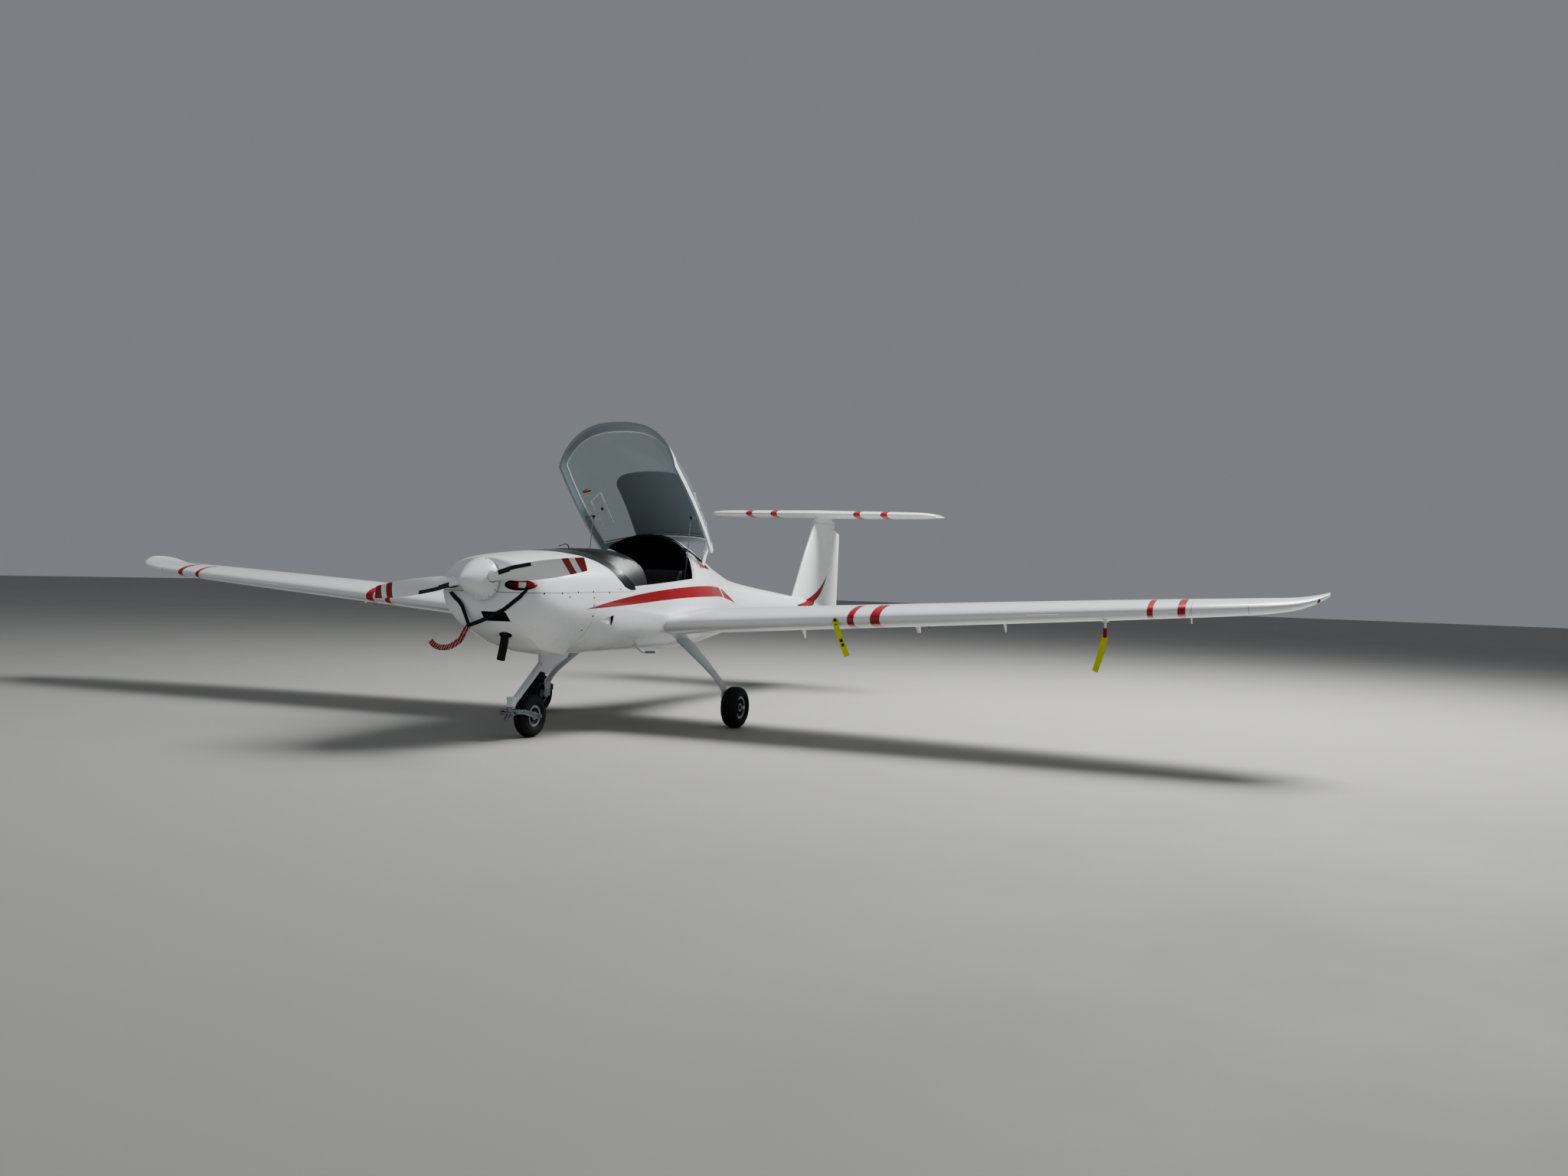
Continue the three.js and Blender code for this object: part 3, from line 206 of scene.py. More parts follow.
def paintedComposite(name, overlays=()):
    shine = {"IOR": 1.5, "Coat Weight": 0.3, "Coat Roughness": 0.05, "Metallic": 0.0}
    made, tree, surface, place, _ = startMaterial(name, shine)
    tint = finishSurface(tree, surface, place, whiteColours, (0.2, 0.3), (1.7, 420), 0.04, 0.0003)
    x, y, z = addNode(tree, "SeparateXYZ", inputs={"Vector": place}).outputs
    s = calc(tree, "SUBTRACT", noseX, x)
    for overlay in overlays:
        mask, colour = overlay(tree, s, y, z)
        tint = mixOf(tree, mask, tint, toLinear(colour))
    # road dust low down and a little grime in the reflections
    grime = noiseOf(tree, place, 3.5, 6.0, 0.7)
    low = rangeOf(tree, z, *dust["heights"], *dust["shares"])
    tint = mixOf(tree, allOf(tree, low, grime, grime), tint, toLinear(dust["colour"]))
    tree.links.new(tint, surface.inputs["Base Color"])
    return made


# The first two points of each edge are its ends
stripe = {
    "span": (0.829, 3.86),
    "heights": (0.9, 1.2),
    "top": (
        (0.829, 0.961), (3.86, 0.975), (0.96, 0.985), (1.13, 1.017), (1.37, 1.055), (1.6, 1.084),
        (1.9, 1.111), (2.3, 1.134), (2.64, 1.142), (3.04, 1.138), (3.33, 1.12), (3.57, 1.066),
    ),
    "bottom": (
        (0.829, 0.961), (3.86, 0.975), (1.09, 0.975), (1.37, 0.992), (1.6, 1.009), (1.93, 1.03),
        (2.32, 1.046), (2.9, 1.05), (3.27, 1.046), (3.55, 1.022),
    ),
    "slit": {"from": (3.3, 1.116), "lean": 1.6, "half": 0.014},
}
swoosh = {
    "span": (5.7, 6.76),
    "heights": (0.85, 1.35),
    "top": (
        (5.7, 0.949), (6.76, 1.275), (5.9, 0.967), (6.07, 0.988), (6.34, 1.056), (6.56, 1.143), (6.68, 1.215),
    ),
    "bottom": (
        (5.7, 0.947), (6.76, 1.27), (5.87, 0.933), (6.03, 0.929), (6.3, 0.967), (6.52, 1.047), (6.68, 1.179),
    ),
    "edge": 0.006,
}
landingLight = {
    "ends": (4.566, 4.936), "rear": 2.13, "bar": (4.751, 0.17), "lamps": (4.672, 4.832), "lampHalf": 0.043,
    "z": 0.985, "high": 0.0155,
}


def edgesOf(tree, s, shape):
    return [curveOf(tree, s, shape["span"], shape[edge], shape["heights"]) for edge in ("bottom", "top")]


def sideStripe(tree, s, y, z):
    # a white slit leans through the stripe behind the cockpit
    (slitS, slitZ), slit = stripe["slit"]["from"], stripe["slit"]
    lean = lineOf(tree, calc(tree, "SUBTRACT", slitZ, z), slit["lean"], slitS)
    keep = calc(tree, "SUBTRACT", 1.0, isNear(tree, s, lean, slit["half"]))
    inside = isBetween(tree, z, *edgesOf(tree, s, stripe))
    return allOf(tree, inside, isBetween(tree, s, *stripe["span"]), keep), redPaint


def pillarPatch(tree, s, y, z):
    # a plain red flash on the rear pillar
    low, top = (
        lineOf(tree, calc(tree, "SUBTRACT", s, start), slope, height)
        for start, slope, height in ((2.735, -0.03, 1.296), (2.8, -0.28, 1.388))
    )
    onSide = isOver(tree, calc(tree, "ABSOLUTE", y), 0.14)
    return allOf(tree, isBetween(tree, z, low, top), isBetween(tree, s, 2.73, 3.2), onSide), redPaint


def glareBand(tree, s, y, z):
    # anti-glare black on the deck between the cowl and the canopy
    return allOf(tree, isUnder(tree, s, 1.457), isOver(tree, z, 1.104)), blackPaint


# Red reflective bands that wrap the leading edge; leading and slope give its station at a span, and
# those on the right are set further out by the share called stretch
def edgeBands(centres, stretch, leading, slope, reach):
    def overlay(tree, s, y, z):
        wider = lineOf(tree, isUnder(tree, y, 0.0), stretch, 1.0)
        side = calc(tree, "DIVIDE", calc(tree, "ABSOLUTE", y), wider)
        bands = anyOf(tree, *(isNear(tree, side, centre, half) for centre, half in centres))
        return allOf(tree, bands, isUnder(tree, s, lineOf(tree, side, slope, leading + reach))), bandRed

    return overlay


def lampPanel(tree, s, y, z):
    # joint line round the landing light's cover in the leading edge
    side, (start, end), rear = calc(tree, "ABSOLUTE", y), landingLight["ends"], landingLight["rear"]
    ends = anyOf(tree, *(isNear(tree, side, edge, jointLine) for edge in (start, end)))
    back = allOf(tree, isBetween(tree, side, start, end), isNear(tree, s, rear, jointLine))
    return calc(tree, "MAXIMUM", allOf(tree, ends, isUnder(tree, s, rear)), back), lineGrey


def lampMasks(tree, s, y, z):
    # the two lamps of the left wing, and the window in which they and their dark bar show
    half = landingLight["lampHalf"]
    lamps = anyOf(tree, *(isNear(tree, y, middle, half) for middle in landingLight["lamps"]))
    level = isNear(tree, z, landingLight["z"], landingLight["high"])
    return lamps, allOf(tree, level, isUnder(tree, s, landingLight["rear"]))


def lampStrip(tree, s, y, z):
    lamps, window = lampMasks(tree, s, y, z)
    bar = isNear(tree, y, *landingLight["bar"])
    return allOf(tree, bar, calc(tree, "SUBTRACT", 1.0, lamps), window), "#3b4044"


def lampGlow(tree, s, y, z):
    return allOf(tree, *lampMasks(tree, s, y, z)), "#a9b0b4"


def splitLine(tree, s, y, z):
    # shadow in the joint between the upper and the lower cowl
    joint = isNear(tree, lineOf(tree, s, -0.016, z), 1.0704, 0.0013)
    return allOf(tree, joint, isUnder(tree, s, 1.28)), lineGrey


# painted shadow: a dark ring in the groove where the spinner meets its backplate
def spinnerJointShadow(tree, s, y, z):
    return isNear(tree, s, 0.2495, jointLine), "#3a3d40"


def finCollar(tree, s, y, z):
    return isNear(tree, z, 1.85, jointLine), lineGrey


def finSwoosh(tree, s, y, z):
    # a red sickle with a thin dark edge, rising aft over the foot of the fin
    inside = isBetween(tree, z, *edgesOf(tree, s, swoosh))
    return allOf(tree, inside, isBetween(tree, s, *swoosh["span"])), redPaint


def swooshEdge(tree, s, y, z):
    low = edgesOf(tree, s, swoosh)[0]
    line = isNear(tree, z, low, swoosh["edge"])
    return allOf(tree, line, isBetween(tree, s, *swoosh["span"])), blackPaint


wingBands = edgeBands(((2.108, 0.026), (2.3, 0.037), (4.29, 0.02), (4.5, 0.026)), 0.042, 1.925, 0.0165, 0.27)
tailBands = edgeBands(((0.495, 0.038), (0.805, 0.038)), 0, 6.37, 0.075, 0.46)
materials = {
    key: paintedComposite("painted " + name, overlays)
    for key, name, overlays in (
        ("bodyPaint", "glass composite, body", (sideStripe, pillarPatch, glareBand, splitLine)),
        ("cowlPaint", "glass composite, cowl", (sideStripe, splitLine)),
        ("spinnerPaint", "spun aluminium, spinner", (spinnerJointShadow,)),
        ("wingPaint", "glass composite, wing", (wingBands, lampPanel, lampStrip, lampGlow)),
        ("tailPaint", "glass composite, tailplane", (tailBands,)),
        ("finPaint", "glass composite, fin", (finSwoosh, swooshEdge, finCollar)),
        ("conePaint", "glass composite, tail cone", (sideStripe, finSwoosh, swooshEdge)),
        ("whitePaint", "glass composite, plain", ()),
    )
}
# Plain finishes. Columns: name, two colours, least and most rough, grain broad and fine, bump, its
# depth in millimetres, metal
plainFinishes = {
    # dull, with a brown bloom where the pipe has run hot
    "exhaustBlack": (
        "heat-proof black on mild steel", "#121213", "#1b1918", 0.6, 0.85, 14, 500, 0.25, 0.4, 0,
    ),
    # cool light grey with an even gloss, on the legs and steps
    "greyEnamel": ("light grey enamel, sprayed", "#d3d8db", "#c6ccd0", 0.28, 0.4, 5, 700, 0.05, 0.4, 0),
    # nearly black and quite dull: the cabin's dark trim, and painted shade inside the cowl, in the canopy
    # arms' slots and in the side ducts' mouths
    "darkTrimAndShade": ("flecked cockpit paint and painted shade", "#0f1012", "#17191c", 0.75, 0.9, 60, 500, 0.3, 0.4, 0),
    # blue grey of the roof panel's lining
    "slatePaint": ("slate grey satin paint", "#7c878e", "#727d85", 0.4, 0.52, 4, 600, 0.06, 0.4, 0),
    # the paler grey inside the canopy frame
    "frameGrey": ("light slate satin paint", "#98a2a8", "#8d979e", 0.34, 0.46, 4, 600, 0.06, 0.4, 0),
    # satin black over a moulded dome, its grain about 1.5 mm
    "vinyl": ("black grained vinyl, vacuum formed", "#111214", "#181a1c", 0.3, 0.42, 5, 650, 0.35, 0.6, 0),
    # soft dark sheen on the crowns of the cushions
    "leather": ("dark leather, upholstered", "#131417", "#0e0f11", 0.45, 0.62, 9, 380, 0.4, 0.8, 0),
    # even dark satin of knobs, grips and sockets
    "blackPlastic": ("black ABS, moulded", "#141517", "#1c1d20", 0.42, 0.55, 8, 900, 0.15, 0.4, 0),
    # smooth black with a clear highlight along the tubes
    "blackEnamel": ("black enamel on steel", "#16171a", "#0f1012", 0.3, 0.45, 9, 800, 0.08, 0.4, 0),
    # flat dark grey without a highlight
    "tyreRubber": ("carbon black rubber, moulded", "#17181a", "#232427", 0.72, 0.88, 14, 420, 0.3, 0.8, 0),
    # mid grey with a soft cast grain
    "rimAlloy": (
        "cast magnesium alloy, painted grey", "#9a9fa3", "#8a8f93", 0.35, 0.5, 20, 500, 0.12, 0.4, 0,
    ),
    # painted shade: the same alloy, darker and duller in the wheel's dish where shadow falls
    "rimDishShade": (
        "cast magnesium alloy, painted shade in its dish", "#4a4d50", "#393b3e", 0.5, 0.7, 20, 500, 0.2, 0.4, 0,
    ),
    # bright, with sharp reflections
    "steel": ("ground stainless steel", "#b9bcbf", "#a2a6aa", 0.22, 0.34, 30, 900, 0.08, 0.2, 1),
    # grey metal with a soft, patchy gloss
    "zincSteel": ("zinc plated steel, pressed", "#9da1a3", "#84888b", 0.35, 0.5, 40, 900, 0.1, 0.3, 1),
    # pale grey, matt and a little uneven
    "seal": ("grey rubber seal, extruded", "#9aa1a4", "#8b9295", 0.6, 0.75, 20, 700, 0.1, 0.4, 0),
    # rough dark casting behind the openings
    "castIron": ("sand cast crankcase", "#55585b", "#45484b", 0.5, 0.7, 30, 350, 0.4, 0.8, 0.7),
    # deep red with a dull coated sheen
    "coverCloth": ("red coated nylon over foam", "#9c1622", "#85101b", 0.5, 0.65, 9, 900, 0.3, 0.4, 0),
    # black and matt, with a fine weave
    "webbing": ("black nylon webbing, woven", "#101113", "#1a1b1e", 0.75, 0.9, 20, 900, 0.4, 0.4, 0),
    # a glaring greenish yellow
    "yellowFlag": ("yellow coated nylon, cut", "#d8df1c", "#c9d016", 0.5, 0.62, 12, 800, 0.2, 0.4, 0),
    # mid grey broken by a fine crackle
    "panelPaint": ("grey crackle panel paint", "#4a4e52", "#404448", 0.55, 0.7, 30, 600, 0.25, 0.4, 0),
    # glossy signal red of the catches and buttons
    "redPaint": ("red enamel", "#9a1019", "#8a0d15", 0.25, 0.35, 8, 700, 0.05, 0.4, 0),
    # the position lights' saturated, glossy caps
    "greenLens": ("green acrylic lens, moulded", "#0f7a45", "#0c6b3c", 0.08, 0.16, 12, 300, 0.03, 0.4, 0),
    "redLens": ("red acrylic lens, moulded", "#a01218", "#8e0f15", 0.08, 0.16, 12, 300, 0.03, 0.4, 0),
    # off-white with the sheen of a film
    "label": ("printed paper label, laminated", "#d9dad6", "#cdcec9", 0.35, 0.45, 40, 700, 0.06, 0.4, 0),
}
for key, (name, first, second, least, most, broad, fine, bump, depth, metal) in plainFinishes.items():
    made, tree, surface, place, _ = startMaterial(name, {"Metallic": float(metal), "IOR": 1.5})
    finishSurface(tree, surface, place, (first, second), (least, most), (broad, fine), bump, depth / 1000)
    materials[key] = made


# Clear blown acrylic: a faint green-grey tint, sharp reflections, light passes in straight lines
def clearAcrylic(name, tint, weight):
    shine = {"IOR": 1.49, "Metallic": 0.0, "Roughness": 0.03, "Base Color": toLinear(tint)}
    made, tree, surface, place, out = startMaterial(name, shine)
    haze = noiseOf(tree, place, 5.0, 5.0, 0.65)
    tree.links.new(rangeOf(tree, haze, 0.0, 1.0, 0.02, 0.08), surface.inputs["Roughness"])
    tree.links.new(reliefOf(tree, 0.02, 0.001, haze), surface.inputs["Normal"])
    # edges that lie along the line of sight reflect more, as polished plastic does
    facing = addNode(tree, "LayerWeight", inputs={"Blend": 0.5}).outputs["Facing"]
    share = lineOf(tree, calc(tree, "POWER", facing, 4.0), 0.55, weight)
    see = addNode(tree, "BsdfTransparent", inputs={"Color": toLinear("#edf2f2")})
    both = addNode(tree, "MixShader", inputs={0: share, 1: see.outputs[0], 2: surface.outputs[0]})
    tree.links.new(both.outputs[0], out.inputs["Surface"])
    return made


materials["acrylic"] = clearAcrylic("clear acrylic, blown", "#9aa3a6", 0.05)


def deselect():
    bpy.ops.object.select_all(action="DESELECT")


def activate(piece):
    deselect()
    piece.select_set(True)
    bpy.context.view_layer.objects.active = piece


def named(name):
    piece = bpy.context.object
    piece.name = name
    piece.data.name = name
    return piece


def inEditMode(piece, *steps):
    # every part of the mesh is selected, then each step is an edit operator with its settings
    activate(piece)
    bpy.ops.object.mode_set(mode="EDIT")
    for operator, settings in steps:
        bpy.ops.mesh.select_all(action="SELECT")
        operator(**settings)
    bpy.ops.object.mode_set(mode="OBJECT")
    return piece


def applyModifier(piece, kind, **settings):
    activate(piece)
    made = piece.modifiers.new(kind.lower(), kind)
    for name, value in settings.items():
        setattr(made, name, value)
    bpy.ops.object.modifier_apply(modifier=made.name)
    return piece


def cut(piece, tool, operation="DIFFERENCE", keep=False):
    applyModifier(piece, "BOOLEAN", object=tool, operation=operation, solver="MANIFOLD")
    if not keep:
        bpy.data.objects.remove(tool)
    return piece


def bevel(piece, width, segments=2, angle=40):
    limit = {"limit_method": "ANGLE", "angle_limit": math.radians(angle), "harden_normals": False}
    return applyModifier(piece, "BEVEL", width=width, segments=segments, **limit)


def smooth(piece, angle=32):
    activate(piece)
    bpy.ops.object.shade_smooth_by_angle(angle=math.radians(angle))
    return piece


def joined(name, parts):
    deselect()
    for part in parts:
        part.select_set(True)
    bpy.context.view_layer.objects.active = parts[0]
    bpy.ops.object.join()
    return named(name)


def copyOf(piece, name):
    made = piece.copy()
    made.data = piece.data.copy()
    made.name = name
    made.data.name = name
    bpy.context.scene.collection.objects.link(made)
    return made


def flipped(piece):
    piece.data.transform(Matrix.Scale(-1, 4, (0, 1, 0)))
    piece.data.flip_normals()
    return piece


def paint(piece, *names):
    piece.data.materials.clear()
    for name in names:
        piece.data.materials.append(materials[name])
    return piece


def done(piece, body, material=None, stands=()):
    if material:
        paint(piece, material)
    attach(piece, body)
    if stands:
        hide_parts(*stands)
    return piece


def finished(piece, body, material=None, stands=(), angle=32):
    return done(smooth(piece, angle), body, material, stands)


def outward(piece):
    merge = (bpy.ops.mesh.remove_doubles, {"threshold": 0.00001})
    return inEditMode(piece, merge, (bpy.ops.mesh.normals_make_consistent, {"inside": False}))


# A cylinder, subdivided along its length, whose rows of points are moved onto the given sections
def skin(name, rings):
    count, rows = len(rings[0]), len(rings)
    deselect()
    bpy.ops.mesh.primitive_cylinder_add(vertices=count, radius=1, depth=2, end_fill_type="NGON")
    piece = named(name)
    if rows > 2:
        bpy.ops.object.mode_set(mode="EDIT")
        bpy.ops.mesh.select_all(action="DESELECT")
        mesh = bmesh.from_edit_mesh(piece.data)
        for edge in mesh.edges:
            edge.select_set(abs(edge.verts[0].co.z - edge.verts[1].co.z) > 1)
        bmesh.update_edit_mesh(piece.data)
        bpy.ops.mesh.subdivide(number_cuts=rows - 2)
        bpy.ops.object.mode_set(mode="OBJECT")
    for vertex in piece.data.vertices:
        row = round((vertex.co.z + 1) / 2 * (rows - 1))
        turn = (math.atan2(vertex.co.y, vertex.co.x) - math.pi / 2) / (2 * math.pi)
        vertex.co = rings[row][round(turn * count) % count]
    return outward(piece)


# A round tube along a path, its radius given at each point
def tube(name, path, radii, sides=20):
    points = [Vector(p) for p in path]
    if not hasattr(radii, "__len__"):
        radii = [radii] * len(points)
    turns = [2 * math.pi * k / sides for k in range(sides)]
    rings = []
    across = None
    for i, (point, radius) in enumerate(zip(points, radii)):
        ahead = points[min(i + 1, len(points) - 1)] - points[max(i - 1, 0)]
        ahead.normalize()
        if across is None:
            across = ahead.orthogonal()
        across = (across - ahead * across.dot(ahead)).normalized()
        other = ahead.cross(across)
        rings.append([point + (across * math.cos(t) + other * math.sin(t)) * radius for t in turns])
    return skin(name, rings)


# A short round bar from a point, along a direction from one distance to another
def bar(name, start, along, low, high, radius, sides):
    return tube(name, [start + along * low, start + along * high], radius, sides)


def outlineOf(name, corners, fill):
    deselect()
    bpy.ops.mesh.primitive_circle_add(vertices=len(corners), radius=1, fill_type=fill)
    piece = named(name)
    for vertex, corner in zip(piece.data.vertices, corners):
        vertex.co = corner
    return piece


# A profile of [radius, distance along the axis] pairs spun about the axis
def spun(name, profile, centre, axis, steps=64):
    along = Vector(axis).normalized()
    out = along.orthogonal().normalized()
    corners = [Vector(centre) + along * distance + out * radius for radius, distance in profile]
    merge = 0.00002
    piece = inEditMode(
        outlineOf(name, corners, "NOTHING"),
        (bpy.ops.mesh.spin, {"steps": steps, "angle": 2 * math.pi, "center": centre, "axis": along}),
        (bpy.ops.mesh.remove_doubles, {"threshold": merge}),
        (bpy.ops.mesh.dissolve_degenerate, {"threshold": merge}),
    )
    return outward(piece)


# A flat outline, filled and extruded by a move
def plate(name, corners, move):
    extrude = (bpy.ops.mesh.extrude_region_move, {"TRANSFORM_OT_translate": {"value": move}})
    return outward(inEditMode(outlineOf(name, corners, "NGON"), extrude))


def sidePlate(name, outline, y0, y1):
    return plate(name, [(x, y0, z) for x, z in outline], (0, y1 - y0, 0))


def block(name, centre, size, edge=0.0, segments=2):
    deselect()
    bpy.ops.mesh.primitive_cube_add(size=1, location=centre, scale=size)
    piece = named(name)
    activate(piece)
    bpy.ops.object.transform_apply(location=True, rotation=True, scale=True)
    return bevel(piece, edge, segments) if edge else piece


# Each side of an outline moved inward by its own distance
def insetOutline(points, sides):
    ends = points[1:] + points[:1]
    area = sum(x * w - u * z for (x, z), (u, w) in zip(points, ends))
    turn = 1 if area > 0 else -1
    lines = []
    for (x, z), (u, w), side in zip(points, ends, sides):
        run = math.hypot(u - x, w - z)
        dx, dz = (u - x) / run, (w - z) / run
        lines.append((x - turn * dz * side, z + turn * dx * side, dx, dz))
    made = []
    for (ax, az, adx, adz), (bx, bz, bdx, bdz) in zip(lines[-1:] + lines[:-1], lines):
        t = ((bx - ax) * bdz - (bz - az) * bdx) / (adx * bdz - adz * bdx)
        made.append((ax + t * adx, az + t * adz))
    return made


# Smooth monotone curve through a table's column, for any station
def columnAt(rows, column, s):
    count = len(rows)
    i = max(0, min(count - 2, sum(1 for row in rows if row[0] <= s) - 1))
    steps = [rows[k + 1][0] - rows[k][0] for k in range(count - 1)]
    slopes = [(rows[k + 1][column] - rows[k][column]) / steps[k] for k in range(count - 1)]

    def tangent(k):
        if k == 0 or k == count - 1:
            return slopes[0] if k == 0 else slopes[-1]
        a, b = slopes[k - 1], slopes[k]
        if a * b <= 0:
            return 0.0
        w1, w2 = 2 * steps[k] + steps[k - 1], steps[k] + 2 * steps[k - 1]
        return (w1 + w2) / (w1 / a + w2 / b)

    h = steps[i]
    t = (s - rows[i][0]) / h
    a, b = rows[i][column], rows[i + 1][column]
    rise = a * (2 * t**3 - 3 * t * t + 1) + b * (3 * t * t - 2 * t**3)
    return rise + h * tangent(i) * (t**3 - 2 * t * t + t) + h * tangent(i + 1) * (t**3 - t * t)


def columnsAt(rows, s):
    return [columnAt(rows, column, s) for column in range(1, len(rows[0]))]


def evenly(low, high, count):
    return [low + (high - low) * i / count for i in range(count + 1)]


# Hull sections: station, bottom, top, half width, height of the widest line, squareness above and below
hullTable = (
    (0.264, 0.985, 1.306, 0.175, 1.140, 2.0, 2.0),
    (0.274, 0.925, 1.316, 0.260, 1.120, 2.1, 2.0),
    (0.300, 0.862, 1.323, 0.335, 1.105, 2.2, 2.0),
    (0.360, 0.795, 1.331, 0.402, 1.080, 2.3, 2.0),
    (0.477, 0.731, 1.344, 0.440, 1.050, 2.4, 1.95),
    (0.620, 0.668, 1.357, 0.463, 1.020, 2.5, 1.9),
    (0.800, 0.626, 1.371, 0.487, 1.000, 2.6, 1.85),
    (1.040, 0.613, 1.387, 0.515, 0.990, 2.6, 2.0),
    (1.270, 0.610, 1.408, 0.541, 0.985, 2.5, 2.6),
    (1.500, 0.608, 1.490, 0.562, 0.985, 2.4, 2.7),
    (1.720, 0.607, 1.552, 0.577, 0.985, 2.35, 2.7),
    (1.960, 0.605, 1.590, 0.584, 0.985, 2.3, 2.7),
    (2.200, 0.602, 1.599, 0.580, 0.985, 2.3, 2.6),
    (2.440, 0.598, 1.592, 0.564, 0.985, 2.3, 2.5),
    (2.650, 0.592, 1.572, 0.536, 0.985, 2.25, 2.4),
    (2.900, 0.592, 1.520, 0.486, 0.985, 2.2, 2.3),
    (3.200, 0.604, 1.440, 0.412, 0.980, 2.1, 2.2),
    (3.600, 0.640, 1.324, 0.318, 0.972, 2.0, 2.1),
    (4.100, 0.698, 1.198, 0.232, 0.955, 2.0, 2.0),
    (4.700, 0.748, 1.130, 0.180, 0.945, 2.0, 2.0),
    (5.390, 0.788, 1.072, 0.142, 0.932, 2.0, 2.0),
    (6.100, 0.822, 1.010, 0.108, 0.918, 2.0, 2.0),
    (6.760, 0.848, 0.960, 0.072, 0.905, 2.0, 2.0),
)
hullStart, hullEnd = 0.264, 6.76
hullTurns = [2 * math.pi * i / 96 for i in range(96)]
noseStations = (
    0.264, 0.2655, 0.268, 0.271, 0.275, 0.28, 0.286, 0.293, 0.302, 0.313, 0.326, 0.342, 0.36, 0.382,
    0.408, 0.44,
)


def power(value, exponent):
    return math.copysign(abs(value) ** exponent, value)


def smoothStep(value, low, high):
    t = min(1.0, max(0.0, (value - low) / (high - low)))
    return t * t * (3 - 2 * t)


def hullRing(s, inset=0.0, lift=0.0):
    bottom, top, half, wide, above, below = columnsAt(hullTable, s)
    top += lift
    ring = []
    for t in hullTurns:
        c, v = math.cos(t), math.sin(t)
        exponent = 2 / (above if v >= 0 else below)
        rise = top - inset - wide if v >= 0 else wide - bottom - inset
        ring.append((xAt(s), (half - inset) * power(c, exponent), wide + rise * power(v, exponent)))
    return ring


def stationsBetween(start, end, step):
    fixed = [s for s in noseStations if start < s < end]
    first = max(start, noseStations[-1]) if start < noseStations[-1] else start
    return sorted({start, *fixed, *evenly(first, end, max(1, round((end - first) / step)))})


def hullSolid(name, start, end, step, inset=0.0):
    return skin(name, [hullRing(s, inset) for s in stationsBetween(start, end, step)])


# Where the panels part, in the side view; each space below is all the room on one side of a joint
joints = {
    "gap": 0.0016,  # half the visible gap between two panels
    # the top cowl's rear edge, from the split line up and forward
    "cowlEdge": (
        (1.432, 1.0933), (1.326, 1.127), (1.269, 1.192), (1.213, 1.262),
        (1.141, 1.311), (1.070, 1.347), (0.932, 1.380), (0.800, 1.400),
    ),
    "lowerCowlEnd": 0.955,
    "cabinStart": 0.979,
    "aftBulkhead": 3.3,
    "sillFront": (1.46, 1.132),
    "sillRear": (2.44, 1.2),
    "archFrontLean": 1.0,
    "archRearLean": 0.56,
    "topZ": 2.3,
    "armY": 0.372,
}
big = 3.0


def splitZ(s):
    return 1.074 + 0.016 * (s - 0.223)


def upperCowlSpace(name, m):
    edge = joints["cowlEdge"]
    outline = sideView([(0, splitZ(0)), *edge, (0, edge[-1][1])])
    return sidePlate(name, insetOutline(outline, [m] * len(edge) + [0, 0]), -big, big)


def canopySpace(name, m, rear=None, sill=None):
    rear = m if rear is None else rear
    sill = m if sill is None else sill
    (fs, fz), (rs, rz), top = joints["sillFront"], joints["sillRear"], joints["topZ"]
    frontTop = fs - (top - fz) / joints["archFrontLean"]
    rearTop = rs + (top - rz) * joints["archRearLean"]
    outline = sideView([(fs, fz), (frontTop, top), (rearTop, top), (rs, rz)])
    return sidePlate(name, insetOutline(outline, [m, 0, rear, sill]), -big, big)


# Takes the second material on faces that the test accepts, by their middle and direction
def repaint(piece, accepts, index=1):
    for face in piece.data.polygons:
        if accepts(noseX - face.center.x, face.center.y, face.center.z, face.normal):
            face.material_index = index
    return piece


# Faces whose middle lies well inside the hull's skin take the second material
def paintInside(piece, depth, outer, inner, lift=None):
    def isInside(s, y, z, normal):
        if not hullStart + 0.01 < s < hullEnd:
            return False
        bottom, top, half, wide, above, below = columnsAt(hullTable, s)
        if lift:
            top += lift(s)
        exponent, rise = (above, top - wide) if z >= wide else (below, wide - bottom)
        level = (abs(y) / half) ** exponent + (abs(z - wide) / rise) ** exponent
        return level < (1 - depth / half) ** exponent

    return repaint(paint(piece, outer, inner), isInside)


deselect()
print("camera and studio")
bpy.ops.object.camera_add(location=view["place"])
camera = bpy.context.object
camera.name = "Camera"
axes = Matrix((view["right"], view["up"], tuple(-v for v in view["forward"]))).transposed()
camera.rotation_mode = "QUATERNION"
camera.rotation_quaternion = axes.to_quaternion()
camera.data.sensor_width = view["sensor"]
camera.data.lens = view["lens"]
camera.data.clip_start, camera.data.clip_end = view["clip"]
bpy.context.scene.camera = camera

bpy.ops.mesh.primitive_plane_add(size=2 * studio["floorHalf"], location=(0, 0, studio["floorZ"]))
floor = named("studio_floor")
paleFloor, tree, surface, place, _ = startMaterial("studio floor, matt", {"Roughness": 0.8})
finishSurface(tree, surface, place, studio["floorColours"], (0.75, 0.9), (0.6, 40), 0.02)
floor.data.materials.append(paleFloor)
for word in ("key", "fill"):
    at = Vector(studio[word]["place"])
    bpy.ops.object.light_add(type="AREA", location=at)
    light = bpy.context.object
    light.name = word + "_light"
    light.data.energy = studio[word]["power"]
    light.data.size = studio[word]["size"]
    light.rotation_mode = "QUATERNION"
    light.rotation_quaternion = (Vector(studio["aim"]) - at).to_track_quat("-Z", "Y")
world = bpy.data.worlds.new("studio")
bpy.context.scene.world = world
world.use_nodes = True
world.node_tree.nodes["Background"].inputs[0].default_value = toLinear(studio["skyColour"])
world.node_tree.nodes["Background"].inputs[1].default_value = studio["sky"]
bpy.context.scene.view_settings.view_transform = "AgX"
bpy.context.scene.view_settings.look = "AgX - Medium High Contrast"

